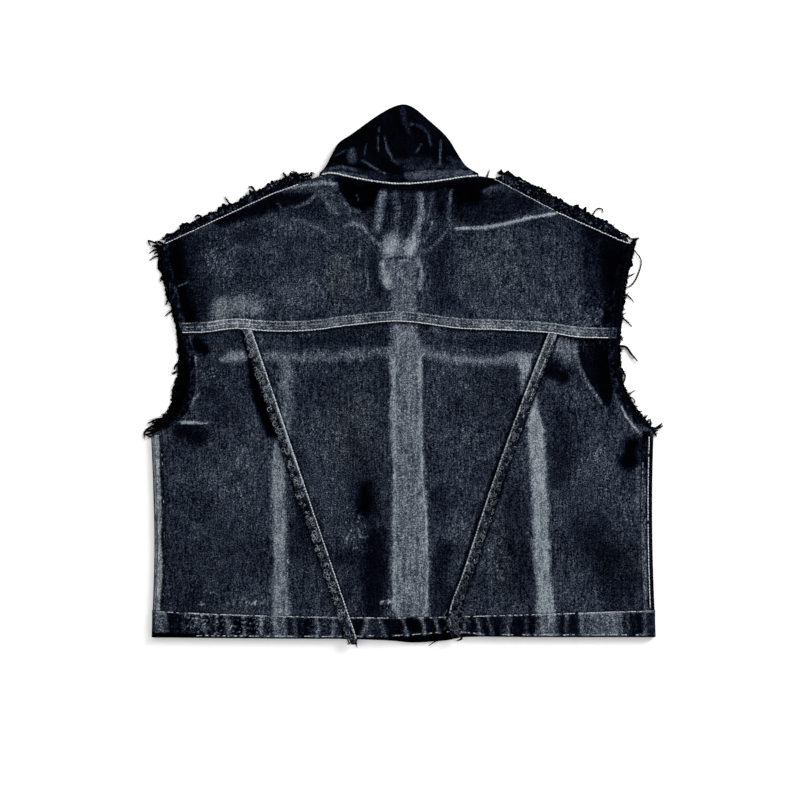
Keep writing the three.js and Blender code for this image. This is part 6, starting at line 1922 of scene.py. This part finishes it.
class VEST_OT_stage(bpy.types.Operator):
    """Plain pale floor, soft studio light and the camera straight overhead."""
    bl_idname = "vest.stage"
    bl_label = "Stage"

    def execute(self, context):
        scene = context.scene
        stage = scene.vest_stage
        recipe = Recipe("pale floor")
        recipe.finish(Base_Color=(*stage.floor, 1), Roughness=0.95, Specular_IOR_Level=0.0)
        half = stage.floor_size / 2
        mesh = bpy.data.meshes.new("floor")
        corners = [(x * half, y * half, stage.drop) for x, y in ((-1, -1), (1, -1), (1, 1), (-1, 1))]
        mesh.from_pydata(corners, [], [(0, 1, 2, 3)])
        mesh.materials.append(recipe.material)
        floor = bpy.data.objects.new("floor", mesh)
        scene.collection.objects.link(floor)
        world = bpy.data.worlds.new("studio")
        world.use_nodes = True
        sky = world.node_tree.nodes["Background"].inputs
        sky["Color"].default_value = (1, 1, 1, 1)
        sky["Strength"].default_value = stage.sky
        scene.world = world
        for name, place, size, power in (
            ("key light", (1.9, 1.5, 1.05), 1.5, stage.key),
            ("fill light", (-1.5, 0.4, 2.2), 2.4, stage.key * 0.16),
        ):
            light = bpy.data.lights.new(name, "AREA")
            light.size = size
            light.energy = power
            lamp = bpy.data.objects.new(name, light)
            lamp.location = place
            lamp.rotation_euler = (-Vector(place)).to_track_quat("-Z", "Y").to_euler()
            scene.collection.objects.link(lamp)
        lens = bpy.data.cameras.new("overhead")
        lens.lens = stage.lens
        lens.clip_end = 50
        lens.dof.use_dof = False
        camera = bpy.data.objects.new("overhead", lens)
        above = stage.view_width * stage.lens / lens.sensor_width
        camera.location = (stage.centre[0], stage.centre[1], above + CAD_BOX[1][2] / 2)
        scene.collection.objects.link(camera)
        scene.camera = camera
        scene.view_settings.view_transform = "Standard"
        return {"FINISHED"}


# Settings.
def length_setting(name, description, default):
    return bpy.props.FloatProperty(
        name=name, description=description, default=default, unit="LENGTH", precision=5,
    )


def colour_setting(name, description, default):
    return bpy.props.FloatVectorProperty(
        name=name, description=description, default=default, subtype="COLOR", size=3, min=0, max=1,
    )


class VestCloth(bpy.types.PropertyGroup):
    cell: length_setting("Cloth cell", "Spacing of the points that a panel is worked out on", 0.0019)
    crease: bpy.props.FloatProperty(
        name="Creases", description="How far small creases stand up", default=1.0, min=0, max=1.5,
        subtype="FACTOR",
    )
    mottle: bpy.props.FloatProperty(
        name="Mottle", description="Strength of the blotches in the wear", default=1.0, min=0, max=2,
        subtype="FACTOR",
    )
    grain: bpy.props.FloatProperty(
        name="Grain", description="Strength of the salt-and-pepper grain", default=1.0, min=0, max=2,
        subtype="FACTOR",
    )


class VestColours(bpy.types.PropertyGroup):
    # The darkest stop: unfaded cloth, and also the painted shade of the marks that go to black.
    hollow: colour_setting("Hollow", "Denim in its unworn hollows", colour_of(1, 1, 2))
    ink: colour_setting("Ink", "Denim with hardly any wear", colour_of(7, 10, 20))
    navy: colour_setting("Navy", "Denim at its usual wear", colour_of(28, 34, 46))
    worn: colour_setting("Worn", "Worn denim", colour_of(63, 69, 79))
    pale: colour_setting("Pale", "Faded denim", colour_of(98, 105, 112))
    bare: colour_setting("Bare", "Denim rubbed to its white core", colour_of(138, 145, 152))
    patch: colour_setting("Patch", "What the stained patches filter the denim to", (1.0, 0.95, 0.74))
    thread: colour_setting("Thread", "Rubbed sewing thread", colour_of(188, 192, 196))


class VestThreads(bpy.types.PropertyGroup):
    stitch: length_setting("Stitch", "Length of a stitch", 0.0029)
    gap: length_setting("Gap", "Gap between stitches", 0.0003)
    thread: length_setting("Thread", "Thickness of the sewing thread", 0.00105)
    yarn: length_setting("Yarn", "Thickness of a loose yarn at its root", 0.0012)
    yarns: bpy.props.IntProperty(
        name="Yarns", description="Loose yarns to a metre of edge", default=1500, min=1,
    )
    fibres: bpy.props.IntProperty(
        name="Fibres", description="Fine fibres to a metre of edge", default=1000, min=1,
    )


class VestStage(bpy.types.PropertyGroup):
    view_width: length_setting("View width", "Width that the camera sees on the table", 0.88)
    centre: bpy.props.FloatVectorProperty(
        name="View centre", description="Place on the table under the camera", default=(-0.00385, -0.0275),
        size=2, subtype="XYZ",
    )
    lens: bpy.props.FloatProperty(name="Lens", description="Focal length in millimetres", default=85)
    floor_size: length_setting("Floor size", "Length of the floor's side", 7.0)
    drop: length_setting("Floor height", "Height of the floor's face", -0.0002)
    floor: colour_setting("Floor", "Colour of the floor", (0.93, 0.93, 0.93))
    sky: bpy.props.FloatProperty(name="Sky", description="Strength of the even light", default=0.7)
    key: bpy.props.FloatProperty(name="Key light", description="Power of the key light in watts", default=112)


class VEST_PT_sidebar(bpy.types.Panel):
    """Lists the settings and the steps that make the vest."""
    bl_idname = "VEST_PT_sidebar"
    bl_label = "Denim vest"
    bl_space_type = "VIEW_3D"
    bl_region_type = "UI"
    bl_category = "Vest"

    def draw(self, context):
        for settings in ("vest_cloth", "vest_colours", "vest_threads", "vest_stage"):
            group = getattr(context.scene, settings)
            for name in group.__annotations__:
                self.layout.prop(group, name)
        for step in STEPS:
            self.layout.operator(step.bl_idname)


STEPS = (
    VEST_OT_stage, VEST_OT_yoke, VEST_OT_centre_back, VEST_OT_side_backs, VEST_OT_raw_strips,
    VEST_OT_waistband, VEST_OT_collar, VEST_OT_fronts, VEST_OT_raw_shoulders, VEST_OT_frays,
    VEST_OT_sewing, VEST_OT_buttons, VEST_OT_declare,
)
SETTINGS = {
    "vest_cloth": VestCloth, "vest_colours": VestColours, "vest_threads": VestThreads,
    "vest_stage": VestStage,
}


def register():
    for group in (*SETTINGS.values(), *STEPS, VEST_PT_sidebar):
        bpy.utils.register_class(group)
    for name, group in SETTINGS.items():
        setattr(bpy.types.Scene, name, bpy.props.PointerProperty(type=group))


def unregister():
    for name in SETTINGS:
        delattr(bpy.types.Scene, name)
    for group in (VEST_PT_sidebar, *reversed(STEPS), *SETTINGS.values()):
        bpy.utils.unregister_class(group)


def main():
    register()
    for step in STEPS:
        area, name = step.bl_idname.split(".")
        getattr(getattr(bpy.ops, area), name)()


if __name__ == "__main__":
    main()
